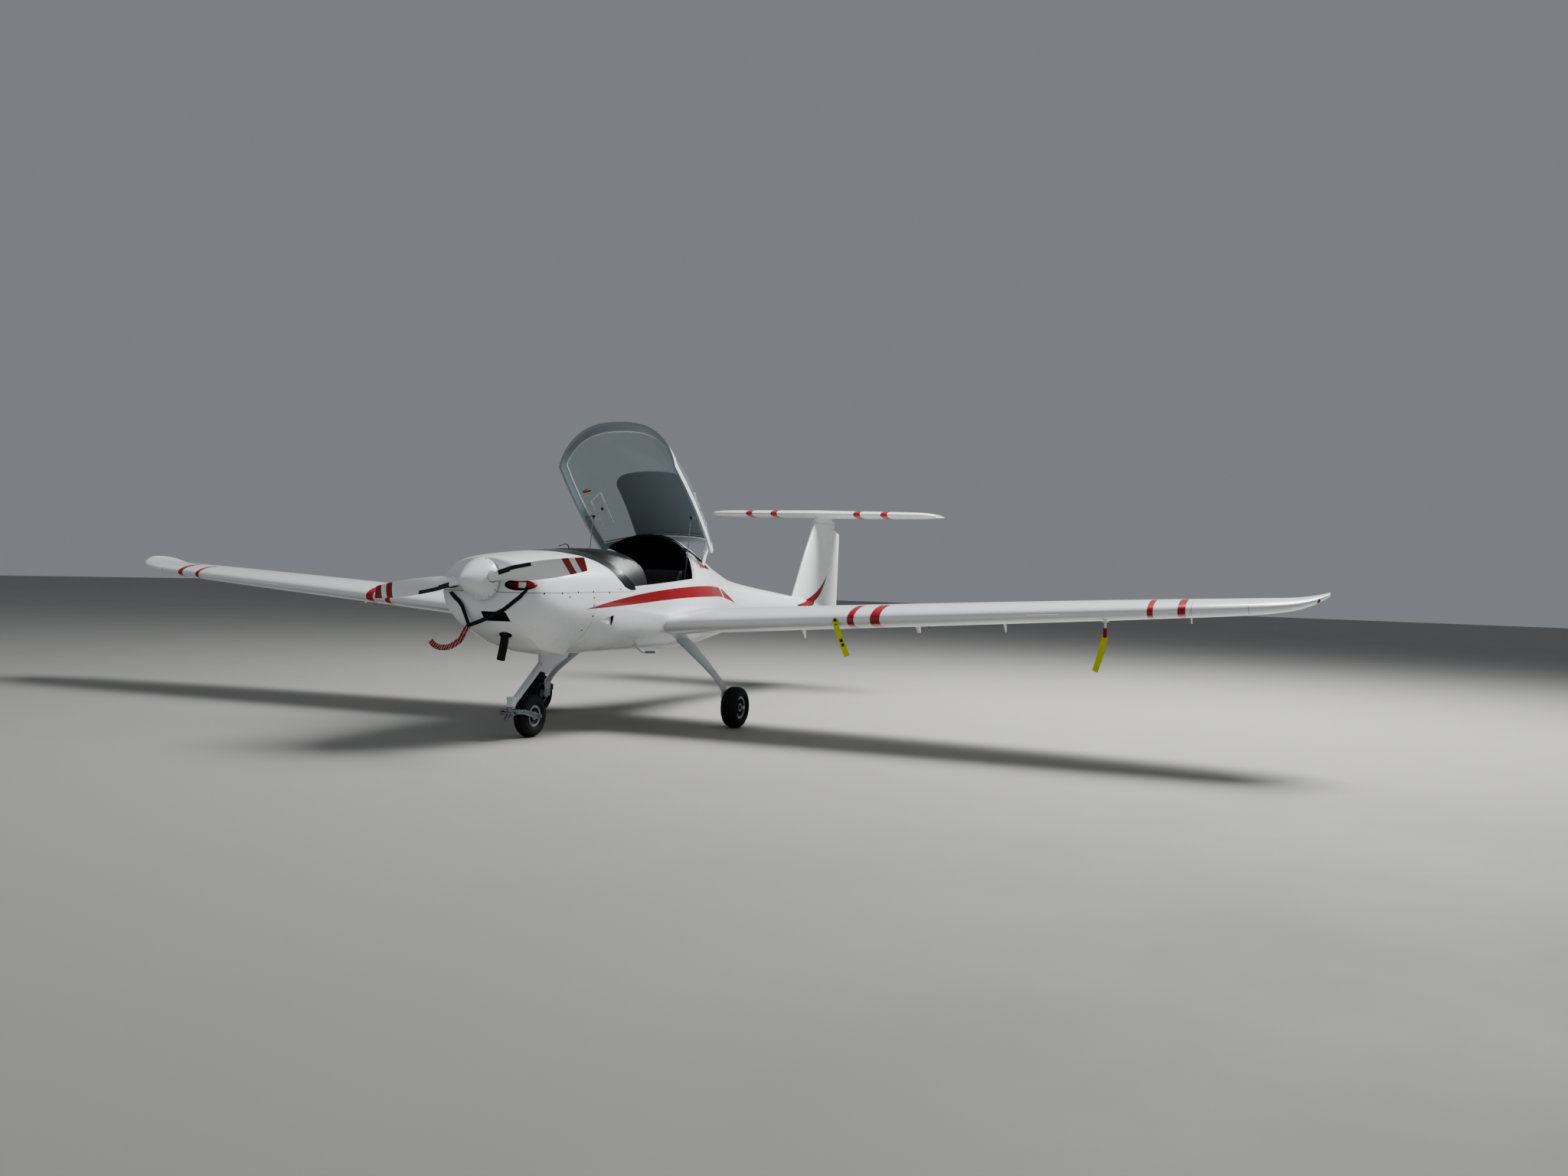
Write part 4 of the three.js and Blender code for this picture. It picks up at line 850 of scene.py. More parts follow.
print("cowl and fuselage")
cowl = {
    "wall": 0.008,
    "inlet": {"y": 0.287, "z": 1.128, "ry": 0.107, "rz": 0.038},
    "chin": {
        "corner": (0.19, 0.937), "radius": 0.022, "lower": ((0.203, 0.871), (0.012, 0.871)),
        "inner": (-0.012, 0.937), "rear": 0.42,
    },
    "duct": {"front": 1.043, "rear": 1.18, "z": 0.879, "half": 0.037, "depth": 0.018},
    "exhaust": ((0.419, 0.1, 0.936), (0.407, 0.1, 0.752), (0.403, 0.1, 0.722), (0.366, 0.1, 0.597)),
    "exhaustRadius": 0.029,
    "exhaustBore": 0.0262,
}
wall, gap = cowl["wall"], joints["gap"]
# The outlet box under the engine, on the left only: station, upper corner (y, z), lower corner (y, z),
# height amidships
keelTable = (
    (0.318, 0.228, 0.906, 0.226, 0.896, 0.847),
    (0.359, 0.281, 0.880, 0.243, 0.862, 0.796),
    (0.419, 0.299, 0.855, 0.245, 0.815, 0.764),
    (0.480, 0.318, 0.832, 0.246, 0.768, 0.729),
    (0.561, 0.329, 0.806, 0.247, 0.720, 0.692),
    (0.644, 0.334, 0.781, 0.248, 0.671, 0.659),
    (0.718, 0.334, 0.760, 0.249, 0.655, 0.642),
    (0.793, 0.336, 0.745, 0.250, 0.640, 0.626),
    (0.880, 0.335, 0.728, 0.250, 0.626, 0.617),
    (0.955, 0.320, 0.718, 0.250, 0.613, 0.607),
)


def keelSolid(name, start, inset):
    rings = []
    for s in evenly(start, keelTable[-1][0], 32):
        yHigh, zHigh, yLow, zLow, middle = columnsAt(keelTable, s)
        corners = [(yHigh - 1.5 * inset, zHigh + inset), (yLow - inset, zLow + inset)]
        corners += [
            ((yLow - inset) * share, middle + (share**2) * (zLow - middle) + inset)
            for share in (0.85, 0.6, 0.3)
        ]
        corners += [(0, middle + inset), (0, zHigh + inset)]
        rings.append([(xAt(s), y, z) for y, z in corners])
    return skin(name, rings)


# A slot left of the middle, cut through from the front, its upper outer corner rounded
def chinSlot(name):
    chin = cowl["chin"]
    (y0, z0), radius = chin["corner"], chin["radius"]
    turns = [math.pi / 2 * i / 8 for i in range(9)]
    ring = [(y0 - radius * (1 - math.sin(t)), z0 - radius * (1 - math.cos(t))) for t in turns]
    ring += [*chin["lower"], chin["inner"]]
    return skin(name, [[(xAt(s), y, z) for y, z in ring] for s in (0.1, chin["rear"])])


def ovalBar(name, side, grow, s0, s1, sides=48):
    inlet = cowl["inlet"]
    deselect()
    bpy.ops.mesh.primitive_cylinder_add(vertices=sides, radius=1, depth=1)
    piece = named(name)
    for move in (
        Matrix.Rotation(math.pi / 2, 4, "Y"),
        Matrix.Diagonal((s1 - s0, inlet["ry"] + grow, inlet["rz"] + grow, 1)),
        Matrix.Translation((xAt((s0 + s1) / 2), side * inlet["y"], inlet["z"])),
    ):
        piece.data.transform(move)
    return piece


def cowlCore(name):
    return hullSolid(name, hullStart + wall, 1.72, 0.03, wall)


def cowlShell(name):
    return cut(hullSolid(name, hullStart, 1.69, 0.03), cowlCore("cowl_inside"))


def openNose(piece):
    cut(piece, tube("spinner_hole", [(xAt(0.2), 0, 1.163), (xAt(0.3), 0, 1.163)], 0.07, 48))
    for side in (1, -1):
        cut(piece, ovalBar("inlet_hole", side, 0, 0.1, 0.42))
    return piece


upperCowl = openNose(cut(cowlShell("cowl_top_skin"), upperCowlSpace("upper_space", gap), "INTERSECT"))
keel = bevel(keelSolid("keel", keelTable[0][0], 0), 0.006, 3, 32)
keelRoom = keelSolid("keel_inside", keelTable[1][0], wall)
cut(keel, keelRoom, keep=True)
cut(keel, cowlCore("cowl_core"))
lowerCowl = cut(cut(cowlShell("cowl_bottom_skin"), keelRoom), keel, "UNION")
lowerEnd = joints["lowerCowlEnd"]
lowerSpace = sideView(
    [(0, splitZ(0) - gap), (0, 0.3), (lowerEnd - gap, 0.3), (lowerEnd - gap, splitZ(lowerEnd) - gap)]
)
cut(lowerCowl, sidePlate("lower_space", lowerSpace, -big, big), "INTERSECT")
openNose(lowerCowl)
cut(lowerCowl, chinSlot("chin_hole"))
cut(lowerCowl, tube("exhaust_hole", [(xAt(0.43), 0.1, 0.82), (xAt(0.38), 0.1, 0.64)], 0.045, 32))
for piece, stands in ((upperCowl, "upper_cowl"), (lowerCowl, "lower_cowl")):
    # the cowl's inner faces, the ring behind the spinner among them, take painted shade
    paintInside(piece, 0.004, "cowlPaint", "darkTrimAndShade")
    finished(piece, "airframe", stands=(stands,), angle=26)
pipe = tube("exhaust_pipe_skin", route(cowl["exhaust"]), cowl["exhaustRadius"], 40)
end, mouth = route(cowl["exhaust"][2:])
cut(pipe, tube("bore", [end, mouth + (mouth - end) * 0.2], cowl["exhaustBore"], 40))
finished(pipe, "airframe", "exhaustBlack", ("exhaust_pipe",))

cabinStart, bulkhead, armY = joints["cabinStart"], joints["aftBulkhead"], joints["armY"]
cabin = hullSolid("cabin_shell", lowerEnd, bulkhead, 0.03)
deck = cut(cowlShell("deck"), block("deck_room", (xAt(0.95), 0, 1.6), (0.1, 2, 0.7)), "INTERSECT")
cut(cabin, deck, "UNION")
cut(cabin, hullSolid("cabin_inside", cabinStart, bulkhead - 0.02, 0.03, 0.024))
cut(cabin, canopySpace("canopy_room", 0))
rebate = canopySpace("rebate", 0, -0.018, 0)
cut(rebate, hullSolid("rebate_core", 1.1, 3.3, 0.03, 0.009))
cut(cabin, rebate)
cut(cabin, upperCowlSpace("cowl_room", 0))
duct = cowl["duct"]
canopyHinge = {"s": 2.842, "z": 0.948, "lug": 0.018}
footRow = ((2.38, 0.4793, 1.02), (2.38, 0.556, 1.02))
for side in (1, -1):
    cut(cabin, block("arm_slot", (xAt(2.77), side * armY, 1.44), (0.46, 0.044, 0.4)))
    # a submerged inlet whose floor ramps down to a lip at its rear
    rings = []
    for i in range(13):
        u = i / 12
        s = duct["front"] + (duct["rear"] - duct["front"]) * u
        bottom, top, half, wide, above, below = columnsAt(hullTable, s)
        skinY = half * (1 - ((wide - duct["z"]) / (wide - bottom)) ** below) ** (1 / below)
        high = 0.0015 + duct["half"] * u
        deep = skinY + 0.003 - (duct["depth"] + 0.003) * u
        corners = ((0.56, -high), (0.56, high), (deep, high), (deep, -high))
        rings.append([(xAt(s), side * y, duct["z"] + z) for y, z in corners])
    cut(cabin, skin("duct", rings))
    hs, hz, lugWidth = canopyHinge["s"], canopyHinge["z"], canopyHinge["lug"]
    y0 = side * armY - 0.009 - side * (lugWidth + 0.0003)
    lugOutline = sideView(
        [(3.3, hz - 0.05), (hs - 0.02, hz - 0.02), (hs - 0.02, hz + 0.02), (3.3, hz + 0.05)]
    )
    lug = sidePlate("hinge_lug", lugOutline, y0, y0 + lugWidth)
    cut(lug, hullSolid("lug_room", 2.7, 3.296, 0.06, 0.004), "INTERSECT")
    cut(cabin, lug, "UNION")
    cut(cabin, tube("strut_foot", route(footRow, side), 0.009), "UNION")
# the cabin's inner faces take the dark trim: partly the cockpit's own dark finish, partly painted shade deep
# inside
paintInside(cabin, 0.0185, "bodyPaint", "darkTrimAndShade")


# Painted shade: the sides of the canopy arms' slots and the mouths of the side ducts take the dark trim where
# shade falls; the ducts' floors are painted
def isShadedSlotOrMouth(s, y, z, normal):
    onSlot = abs(abs(y) - armY) < 0.024 and 2.53 < s < 3.01 and z > 1.22 and abs(normal.y) > 0.99
    return onSlot or abs(s - duct["rear"]) < 0.006 and normal.x > 0.6 and abs(y) > 0.35


def isDuctFloor(s, y, z, normal):
    inDuct = duct["front"] - 0.002 < s < duct["rear"] - 0.002 and abs(z - duct["z"]) < duct["half"] + 0.004
    return inDuct and abs(y) > 0.44


repaint(repaint(cabin, isShadedSlotOrMouth), isDuctFloor, 0)
finished(cabin, "airframe", stands=("fuselage",), angle=26)

tail = hullSolid("tail_cone_skin", bulkhead + 0.0003, hullEnd, 0.06)
skidOutline = ((6.5, 0.85), (6.76, 0.85), (6.748, 0.742), (6.734, 0.726), (6.7, 0.72), (6.64, 0.735))
skid = sidePlate("skid", sideView(skidOutline), -0.009, 0.009)
cut(tail, bevel(skid, 0.005, 3), "UNION")
cut(tail, block("lower_bearing", (xAt(6.815), 0, 0.872), (0.13, 0.04, 0.012), 0.003), "UNION")
cut(tail, tube("bearing_pin", [(xAt(6.868), 0, 0.872), (xAt(6.868), 0, 0.8847)], 0.005), "UNION")
finished(tail, "airframe", "conePaint", ("tail_cone",))

print("wings and tail surfaces")
# Wing sections: span, leading-edge station, chord, leading-edge height, thickness ratio
wingTable = (
    (0.330, 1.905, 1.330, 0.806, 0.165),
    (0.560, 1.916, 1.300, 0.832, 0.160),
    (1.200, 1.932, 1.240, 0.876, 0.155),
    (2.900, 1.975, 1.110, 0.988, 0.150),
    (4.380, 2.010, 0.930, 1.085, 0.145),
    (5.000, 2.040, 0.800, 1.128, 0.140),
    (5.210, 2.100, 0.690, 1.152, 0.130),
    (5.350, 2.200, 0.540, 1.190, 0.110),
    (5.435, 2.340, 0.330, 1.232, 0.090),
)
foilHalf = 36
wingCamber = 0.02
edgeThickness = 0.005


def foilShares(camber):
    rows = []
    for i in range(foilHalf + 1):
        t = (1 - math.cos(math.pi * i / foilHalf)) / 2
        half = 5 * (0.2969 * math.sqrt(t) - 0.126 * t - 0.3516 * t * t + 0.2843 * t**3 - 0.1015 * t**4)
        rows.append((t, half, camber * 4 * t * (1 - t)))
    return rows


def foilRing(shares, chord, thickness, place):
    def point(row, side):
        t, half, mean = row
        return place(t * chord, side * max(half * thickness, edgeThickness / 2 * t) + mean * chord)

    return [point(row, 1) for row in shares] + [point(row, -1) for row in reversed(shares[1:])]


def wingRing(y):
    s, chord, z, ratio = columnsAt(wingTable, y)
    return foilRing(foilShares(wingCamber), chord, ratio * chord, lambda d, h: (xAt(s + d), y, z + h))


spans = [row[0] for row in wingTable]
wingStations = [
    y for a, b in zip(spans, spans[1:]) for y in evenly(a, b, max(1, math.ceil((b - a) / 0.06)))[:-1]
]
wing = skin("wing_left_skin", [wingRing(y) for y in wingStations + spans[-1:]])


def wingHinge(y, share):
    s, chord, z, ratio = columnsAt(wingTable, y)
    rows = foilShares(wingCamber)
    k = next(i for i, row in enumerate(rows) if row[0] >= share)
    p, q = rows[k - 1], rows[k]
    u = (share - p[0]) / (q[0] - p[0])
    half, mean = ((p[n] + u * (q[n] - p[n])) * size for n, size in ((1, ratio * chord), (2, chord)))
    return spot(s + share * chord, y, z + mean), half


# Splits a surface at its hinge line: a fixed part with a round cove, a moving part with a round nose
def hingeSplit(blank, movingName, start, end, radii, clearance=0.006):
    along = (end - start).normalized()
    run = (end - start).length
    last = len(radii) - 1
    aft = Vector((-1, 0, 0))
    aft = (aft - along * aft.dot(along)).normalized()
    up = along.cross(aft)

    def halfSpace(name, low, high):
        piece = block(name, (0, 0, 0), (1, 1, 1))
        size = Matrix.Diagonal((high - low, 0.9, 0.9, 1))
        place = Matrix.Translation(((low + high) / 2, 0.45, 0))
        turn = Matrix((along, aft, up)).transposed().to_4x4()
        piece.data.transform(Matrix.Translation(start) @ turn @ place @ size)
        return outward(piece)

    def radius(d):
        u = min(max(d / run, 0), 1) * last
        k = min(last - 1, int(u))
        return radii[k] + (radii[k + 1] - radii[k]) * (u - k)

    def roundBar(name, low, high, grow):
        stops = [low] + [run * k / last for k in range(1, last)] + [high]
        return tube(name, [start + along * d for d in stops], [radius(d) + grow for d in stops], 48)

    moving = copyOf(blank, movingName)
    cut(moving, halfSpace("moving_room", 0, run), "INTERSECT")
    cut(moving, roundBar("nose_bar", 0, run, 0), "UNION")
    cut(blank, halfSpace("gap_room", -clearance, run + clearance))
    cut(blank, roundBar("cove", -clearance, run + clearance, clearance))
    return moving


surfaces = {"hinge": 0.74, "flap": (0.64, 2.88), "aileron": (2.96, 4.96)}
movable = {}
for word in ("flap", "aileron"):
    (a, ra), (b, rb) = (wingHinge(y, surfaces["hinge"]) for y in surfaces[word])
    movable[word] = hingeSplit(wing, word + "_left_skin", a, b, (ra * 0.99, rb * 0.99))
cut(wing, hullSolid("hull_room", 1.7, 3.45, 0.03, -0.0003))
for word, piece in (("wing", wing), *movable.items()):
    smooth(paint(piece, "wingPaint"))
    pair = (piece, flipped(copyOf(piece, word + "_right_skin")))
    for (sideWord, side), half in zip(bothSides, pair):
        node = word + "_" + sideWord
        done(half, "airframe" if piece is wing else node, stands=(node,))

# Fin sections: height, leading-edge station, trailing-edge station, thickness
finTable = (
    (0.900, 5.560, 7.176, 0.092),
    (0.985, 5.800, 7.178, 0.104),
    (1.120, 5.905, 7.182, 0.106),
    (1.500, 6.165, 7.192, 0.104),
    (1.830, 6.420, 7.2027, 0.100),
    (1.935, 6.490, 7.2064, 0.0977),
)
# Stabiliser sections: span, leading-edge station, chord, thickness ratio
stabTable = (
    (0.000, 6.395, 0.700, 0.130),
    (0.300, 6.410, 0.685, 0.125),
    (1.150, 6.462, 0.590, 0.120),
    (1.270, 6.500, 0.500, 0.110),
    (1.340, 6.580, 0.370, 0.090),
)
stabZ = 1.948


def finRing(z):
    lead, trail, thick = columnsAt(finTable, z)
    return foilRing(foilShares(0), trail - lead, thick, lambda d, h: (xAt(lead + d), h, z))


def stabRing(y):
    s, chord, ratio = columnsAt(stabTable, abs(y))
    return foilRing(foilShares(0), chord, ratio * chord, lambda d, h: (xAt(s + d), y, stabZ + h))


fin = skin("fin_skin", [finRing(0.9 + 1.035 * i / 30) for i in range(31)])
rudder = hingeSplit(fin, "rudder_skin", spot(6.868, 0, 0.885), spot(6.925, 0, 1.8), (0.033, 0.033))
spans = [1.27 + 0.07 * i / 6 for i in range(7)] + [1.15 + 0.02 * i for i in range(6)]
spans = sorted(set(spans + [1.15 * i / 18 for i in range(19)]))
stab = skin("stabiliser_skin", [stabRing(y) for y in [-v for v in reversed(spans[1:])] + spans])
tips = (spot(6.9, -1.12, stabZ), spot(6.9, 1.12, stabZ))
elevator = hingeSplit(stab, "elevator_skin", *tips, (0.019, 0.0262, 0.019))
rudderTop = ((6.8, 1.812), (6.8, 2.2), (7.4, 2.2), (7.4, 1.7), (7.16, 1.752))
cut(rudder, sidePlate("rudder_top", sideView(rudderTop), -0.2, 0.2))
cut(rudder, block("rudder_foot", (xAt(7.0), 0, 0.85), (0.5, 0.3, 0.07)))
# the fin is stepped down behind so that the elevator can move
for s, z in ((6.86, 1.883), (6.965, 1.787)):
    cut(fin, block("elevator_room", (xAt(s + 0.3), 0, z + 0.3), (0.6, 0.4, 0.6)))
cut(fin, tube("upper_pin", [(xAt(6.925), 0, 1.8003), (xAt(6.9255), 0, 1.822)], 0.005), "UNION")
for piece, body, stands, material in (
    (fin, "airframe", "fin", "finPaint"),
    (rudder, "rudder", "rudder", "whitePaint"),
    (stab, "airframe", "stabiliser", "tailPaint"),
    (elevator, "elevator", "elevator", "tailPaint"),
):
    finished(piece, body, material, (stands,))

print("canopy")
canopy = {
    "angle": 47.5,
    "frameDepth": 0.02,
    "glassDepth": 0.005,
    "edge": 0.006,  # gap round the shut canopy
    "band": 0.062,  # width of the frame
    "roofFront": 1.862,
    "roofHalf": 0.344,
    "roofCorner": 0.11,
}


def canopyLift(s):
    return 0.03 * smoothStep(s, 1.3, 2.25)


def canopySolid(name, inset):
    return skin(name, [hullRing(s, inset, canopyLift(s)) for s in stationsBetween(1.06, 2.88, 0.03)])


def canopyShell(name, outside, inside):
    return cut(canopySolid(name, outside), canopySolid("canopy_core", inside))


def openUp(piece):
    at = spot(canopyHinge["s"], 0, canopyHinge["z"])
    turn = Matrix.Rotation(-math.radians(canopy["angle"]), 4, "Y")
    piece.data.transform(Matrix.Translation(at) @ turn @ Matrix.Translation(-at))
    return piece


# The roof panel's outline from above, its front corners round
def roofPlan(name, grow):
    half, corner = canopy["roofHalf"] + grow, canopy["roofCorner"]
    front = xAt(canopy["roofFront"] - grow)
    outline = [(xAt(2.9), -half)]
    for side in (-1, 1):
        for i in range(9):
            t = math.pi / 16 * (i if side < 0 else 8 - i)
            x = front - corner + corner * math.sin(t)
            outline.append((x, side * (half - corner + corner * math.cos(t))))
    outline.append((xAt(2.9), half))
    return plate(name, [(x, y, 1.2) for x, y in outline], (0, 0, 0.6))


rim = canopy["edge"] + canopy["band"]
canopyFrame = canopyShell("canopy_frame_skin", 0, canopy["frameDepth"])
cut(canopyFrame, canopySpace("shut_space", canopy["edge"]), "INTERSECT")
cut(canopyFrame, canopySpace("window_space", rim))
hs, hz = canopyHinge["s"], canopyHinge["z"]
armOutline = sideView(
    [
        (hs + 0.026, hz - 0.026), (hs - 0.026, hz - 0.026), (hs - 0.04, hz + 0.06), (2.585, 1.29),
        (2.52, 1.48), (2.575, 1.48), (2.635, 1.3), (hs + 0.026, hz + 0.06),
    ]
)
studRow = ((2.053, 0.4793, 1.215), (2.053, 0.556, 1.215))
for side in (1, -1):
    y0 = side * armY - 0.009
    cut(canopyFrame, sidePlate("arm", armOutline, y0, y0 + 0.018), "UNION")
    cut(canopyFrame, tube("eye_stud", route(studRow, side), 0.007), "UNION")
paintInside(canopyFrame, 0.0155, "whitePaint", "frameGrey", canopyLift)
repaint(canopyFrame, lambda s, y, z, normal: abs(abs(y) - armY) < 0.0096 and s > 2.5, 0)
finished(openUp(canopyFrame), "canopy", stands=("canopy_frame",))

glassShell = canopyShell("canopy_glass_skin", 0.001, 0.001 + canopy["glassDepth"])
cut(glassShell, canopySpace("glass_space", rim + 0.0003), "INTERSECT")
roof = copyOf(glassShell, "canopy_roof_skin")
cut(roof, roofPlan("roof_plan", 0), "INTERSECT")
cut(glassShell, roofPlan("roof_room", 0.0003))
finished(openUp(glassShell), "canopy", "acrylic", ("canopy_glass",))
paintInside(roof, 0.0035, "whitePaint", "slatePaint", canopyLift)
finished(openUp(roof), "canopy", stands=("canopy_roof_panel",))

# A grey seal and a black bonded strip follow the inside edge of the frame
for name, outside, inside, high, low, slot, material in (
    ("canopy_seal", 0.0155, 0.0212, rim - 0.007, rim + 0.003, "gelcoat", "whitePaint"),
    ("canopy_dark_strip", 0.0062, 0.0074, rim - 0.001, rim + 0.013, "hood_vinyl", "seal"),
    ("canopy_light_strip", 0.0062, 0.0078, rim + 0.013, rim + 0.0175, "gelcoat", "whitePaint"),
):
    strip = canopyShell(name, outside, inside)
    cut(strip, canopySpace("strip_space", high), "INTERSECT")
    cut(strip, canopySpace("strip_hole", low))
    finished(openUp(strip), "canopy", material)

# Sliding storm window on each side, given with the canopy shut: rails, knob, red catch
storm = {
    "railHigh": ((1.943, 0.467, 1.404), (2.288, 0.465, 1.41)),
    "railLow": ((1.966, 0.520, 1.302), (2.315, 0.508, 1.316)),
    "railRadius": 0.0075,
    "stileRadius": 0.0048,
    "inset": -0.014,  # how far the rails stand in from the glass
    "knob": (2.096, 0.49, 1.365),
    "knobProfile": ((0, 0), (0.011, 0.0), (0.013, 0.004), (0.013, 0.012), (0.01, 0.0155), (0, 0.016)),
    "knobInset": -0.012,
    "catch": ((1.834, 0.528, 1.274), (1.848, 0.516, 1.306), (1.863, 0.5, 1.336)),
    "catchRadii": (0.009, 0.0135, 0.0105),
}
for word, side in bothSides:
    rails = []
    ends = [route(storm[key], side, storm["inset"]) for key in ("railHigh", "railLow")]
    for a, b in ends:
        rails.append(tube("rail", [a, b], storm["railRadius"], 14))
        for u in (0.02, 0.98):
            at = a.lerp(b, u)
            rails.append(tube("foot", [at, at + Vector((0, side * 0.012, 0.003))], 0.006, 12))
    rails += [tube("stile", pair, storm["stileRadius"], 12) for pair in zip(*ends)]
    finished(openUp(joined("storm_rails_" + word, rails)), "canopy", "whitePaint")
    centre = route([storm["knob"]], side, storm["knobInset"])[0]
    knob = spun("storm_knob_" + word, storm["knobProfile"], centre, (0, -side, 0.3), 24)
    finished(openUp(knob), "canopy", "blackPlastic")
    path = route(storm["catch"], side, storm["knobInset"])
    catch = tube("storm_catch_" + word, path, storm["catchRadii"], 18)
    finished(openUp(catch), "canopy", "redPaint")

print("cabin")
# Station and how far the hood's edge is drawn in there, rolled over toward the pilots
hoodStations = (
    (1.24, 0.014), (1.33, 0.006), (1.45, 0.0), (1.56, 0.0), (1.622, 0.002), (1.641, 0.009), (1.654, 0.018),
    (1.663, 0.029), (1.668, 0.04),
)


def hoodRing(s, thick, foot=1.128):
    half = columnsAt(hullTable, s)[2] - 0.026 - thick * 0.5
    top = 1.396 + 0.022 * math.sin(math.pi * (s - 1.1) / 1.3) - thick
    turns = [math.pi * i / 64 for i in range(65)]
    return [
        (xAt(s), half * power(math.cos(t), 0.8), foot + (top - foot) * math.sin(t) ** 0.8) for t in turns
    ]


hoodStops = [1.24 + 0.02 * i for i in range(19)] + [row[0] for row in hoodStations[4:]]
hood = skin("instrument_hood_skin", [hoodRing(s, columnAt(hoodStations, 1, s)) for s in hoodStops])
room = canopySolid("hood_room", canopy["frameDepth"] + 0.008)
cut(room, hullSolid("hood_room_low", cabinStart, bulkhead, 0.03, 0.0243), "UNION")
cut(hood, room, "INTERSECT")
cut(hood, skin("panel_recess", [hoodRing(s, 0.05, 1.14) for s in (1.65, 1.7)]))
finished(bevel(hood, 0.003, 2, 50), "airframe", "vinyl", ("instrument_hood",))
panelFace = skin("instrument_panel", [hoodRing(s, 0.0508, 1.1408) for s in (1.6505, 1.6535)])
finished(panelFace, "airframe", "panelPaint")

gauge = {
    "radius": 0.038,
    "station": 1.6535,
    "rows": ((1.322, (-0.165, -0.075, 0.075, 0.165, 0.255)), (1.235, (-0.255, 0.075, 0.165, 0.255))),
    "radios": ((1.335, 0.04), (1.288, 0.04), (1.238, 0.046)),  # height of the middle, height of the face
    "knob": ((0, 0), (0.0065, 0), (0.006, 0.009), (0.005, 0.0105), (0, 0.0105)),
    "switchZ": 1.176,
    "switchY": (0.17, -0.17),
}
r, aft = gauge["radius"], (-1, 0, 0)
bezelProfile = (
    (r - 0.006, 0.0), (r, 0.0), (r, 0.0045), (r - 0.0015, 0.006), (r - 0.004, 0.006), (r - 0.006, 0.003),
)
dialProfile = ((0, 0), (r - 0.0055, 0), (r - 0.0055, 0.0012), (0, 0.0012))
bezels, faces, marks = [], [], []
for z, sides in gauge["rows"]:
    for y in sides:
        at = spot(gauge["station"], y, z)
        bezels.append(spun("bezel", bezelProfile, at, aft, 40))
        faces.append(spun("dial", dialProfile, at, aft, 40))
        lift = at + Vector((-0.0015, 0, 0))
        for k in range(12):
            turn = math.radians(30 * k)
            out = Vector((0, math.sin(turn), math.cos(turn)))
            marks.append(bar("mark", lift, out, r - 0.012, r - 0.0075, 0.0009, 6))
        turn = math.radians((z * 977 + y * 500) % 300)  # each needle points its own way
        out = Vector((0, math.sin(turn), math.cos(turn)))
        marks.append(bar("needle", at + Vector((-0.002, 0, 0)), out, -0.005, r - 0.011, [0.0014, 0.0005], 6))
finished(joined("gauge_bezels", bezels), "airframe", "blackPlastic")
finished(joined("gauge_dials", faces), "airframe", "blackEnamel")
finished(joined("gauge_marks", marks), "airframe", "whitePaint")
switchZ, switchY = gauge["switchZ"], gauge["switchY"]
radios = [block("radio", (xAt(1.6565), -0.005, z), (0.008, 0.1, high), 0.0025) for z, high in gauge["radios"]]
radios += [block("switch_row", (xAt(1.6565), y, switchZ), (0.006, 0.15, 0.022), 0.002) for y in switchY]
finished(joined("radio_stack", radios), "airframe", "blackPlastic")
knobs = [
    spun("knob", gauge["knob"], spot(1.6605, y, z), aft, 16)
    for z, _ in gauge["radios"]
    for y in (-0.043, 0.033)
]
knobs += [
    block("rocker", (xAt(1.6608), y - 0.063 + 0.021 * i, switchZ), (0.004, 0.012, 0.016), 0.0015)
    for i in range(7)
    for y in switchY
]
finished(joined("panel_knobs", knobs), "airframe", "seal")

# Seats: a moulded bucket with a squab and a back cushion, each crowned, quilted and piped
seat = {
    "y": 0.262,
    "half": 0.185,
    "squab": ((1.908, 0.842), (2.318, 0.806)),
    "back": ((2.283, 0.868), (2.442, 1.262)),
    "cushionHalf": 0.176,
    "thick": 0.078,
    "piping": 0.128,  # span of the lengthwise seams
    "squabSeams": (0.28, 0.52, 0.76),
    "backSeams": (0.2, 0.38, 0.56, 0.78),
    "bucket": (
        (1.93, 0.69), (1.905, 0.83), (1.915, 0.848), (2.285, 0.812), (2.318, 0.83), (2.472, 1.268),
        (2.487, 1.27), (2.5, 1.255), (2.35, 0.8), (2.33, 0.69),
    ),
}
stick = {
    "tube": ((1.8, 0.675, 0.009), (1.8, 0.79, 0.009), (1.803, 0.815, 0.0095), (1.843, 1.0, 0.0095)),
    "boot": (
        (0, 0), (0.046, 0), (0.044, 0.008), (0.036, 0.014), (0.038, 0.022), (0.028, 0.03),
        (0.029, 0.038), (0.019, 0.047), (0.019, 0.055), (0.011, 0.062), (0, 0.063),
    ),
    "grip": (
        (1.838, 0.978, 0.012), (1.84, 0.984, 0.0155), (1.846, 1.015, 0.0168), (1.85, 1.045, 0.0155),
        (1.854, 1.072, 0.0165), (1.857, 1.087, 0.0135), (1.858, 1.09, 0.006),
    ),
    "button": ((0, 0), (0.0055, 0), (0.0055, 0.003), (0.004, 0.0045), (0, 0.005)),
}


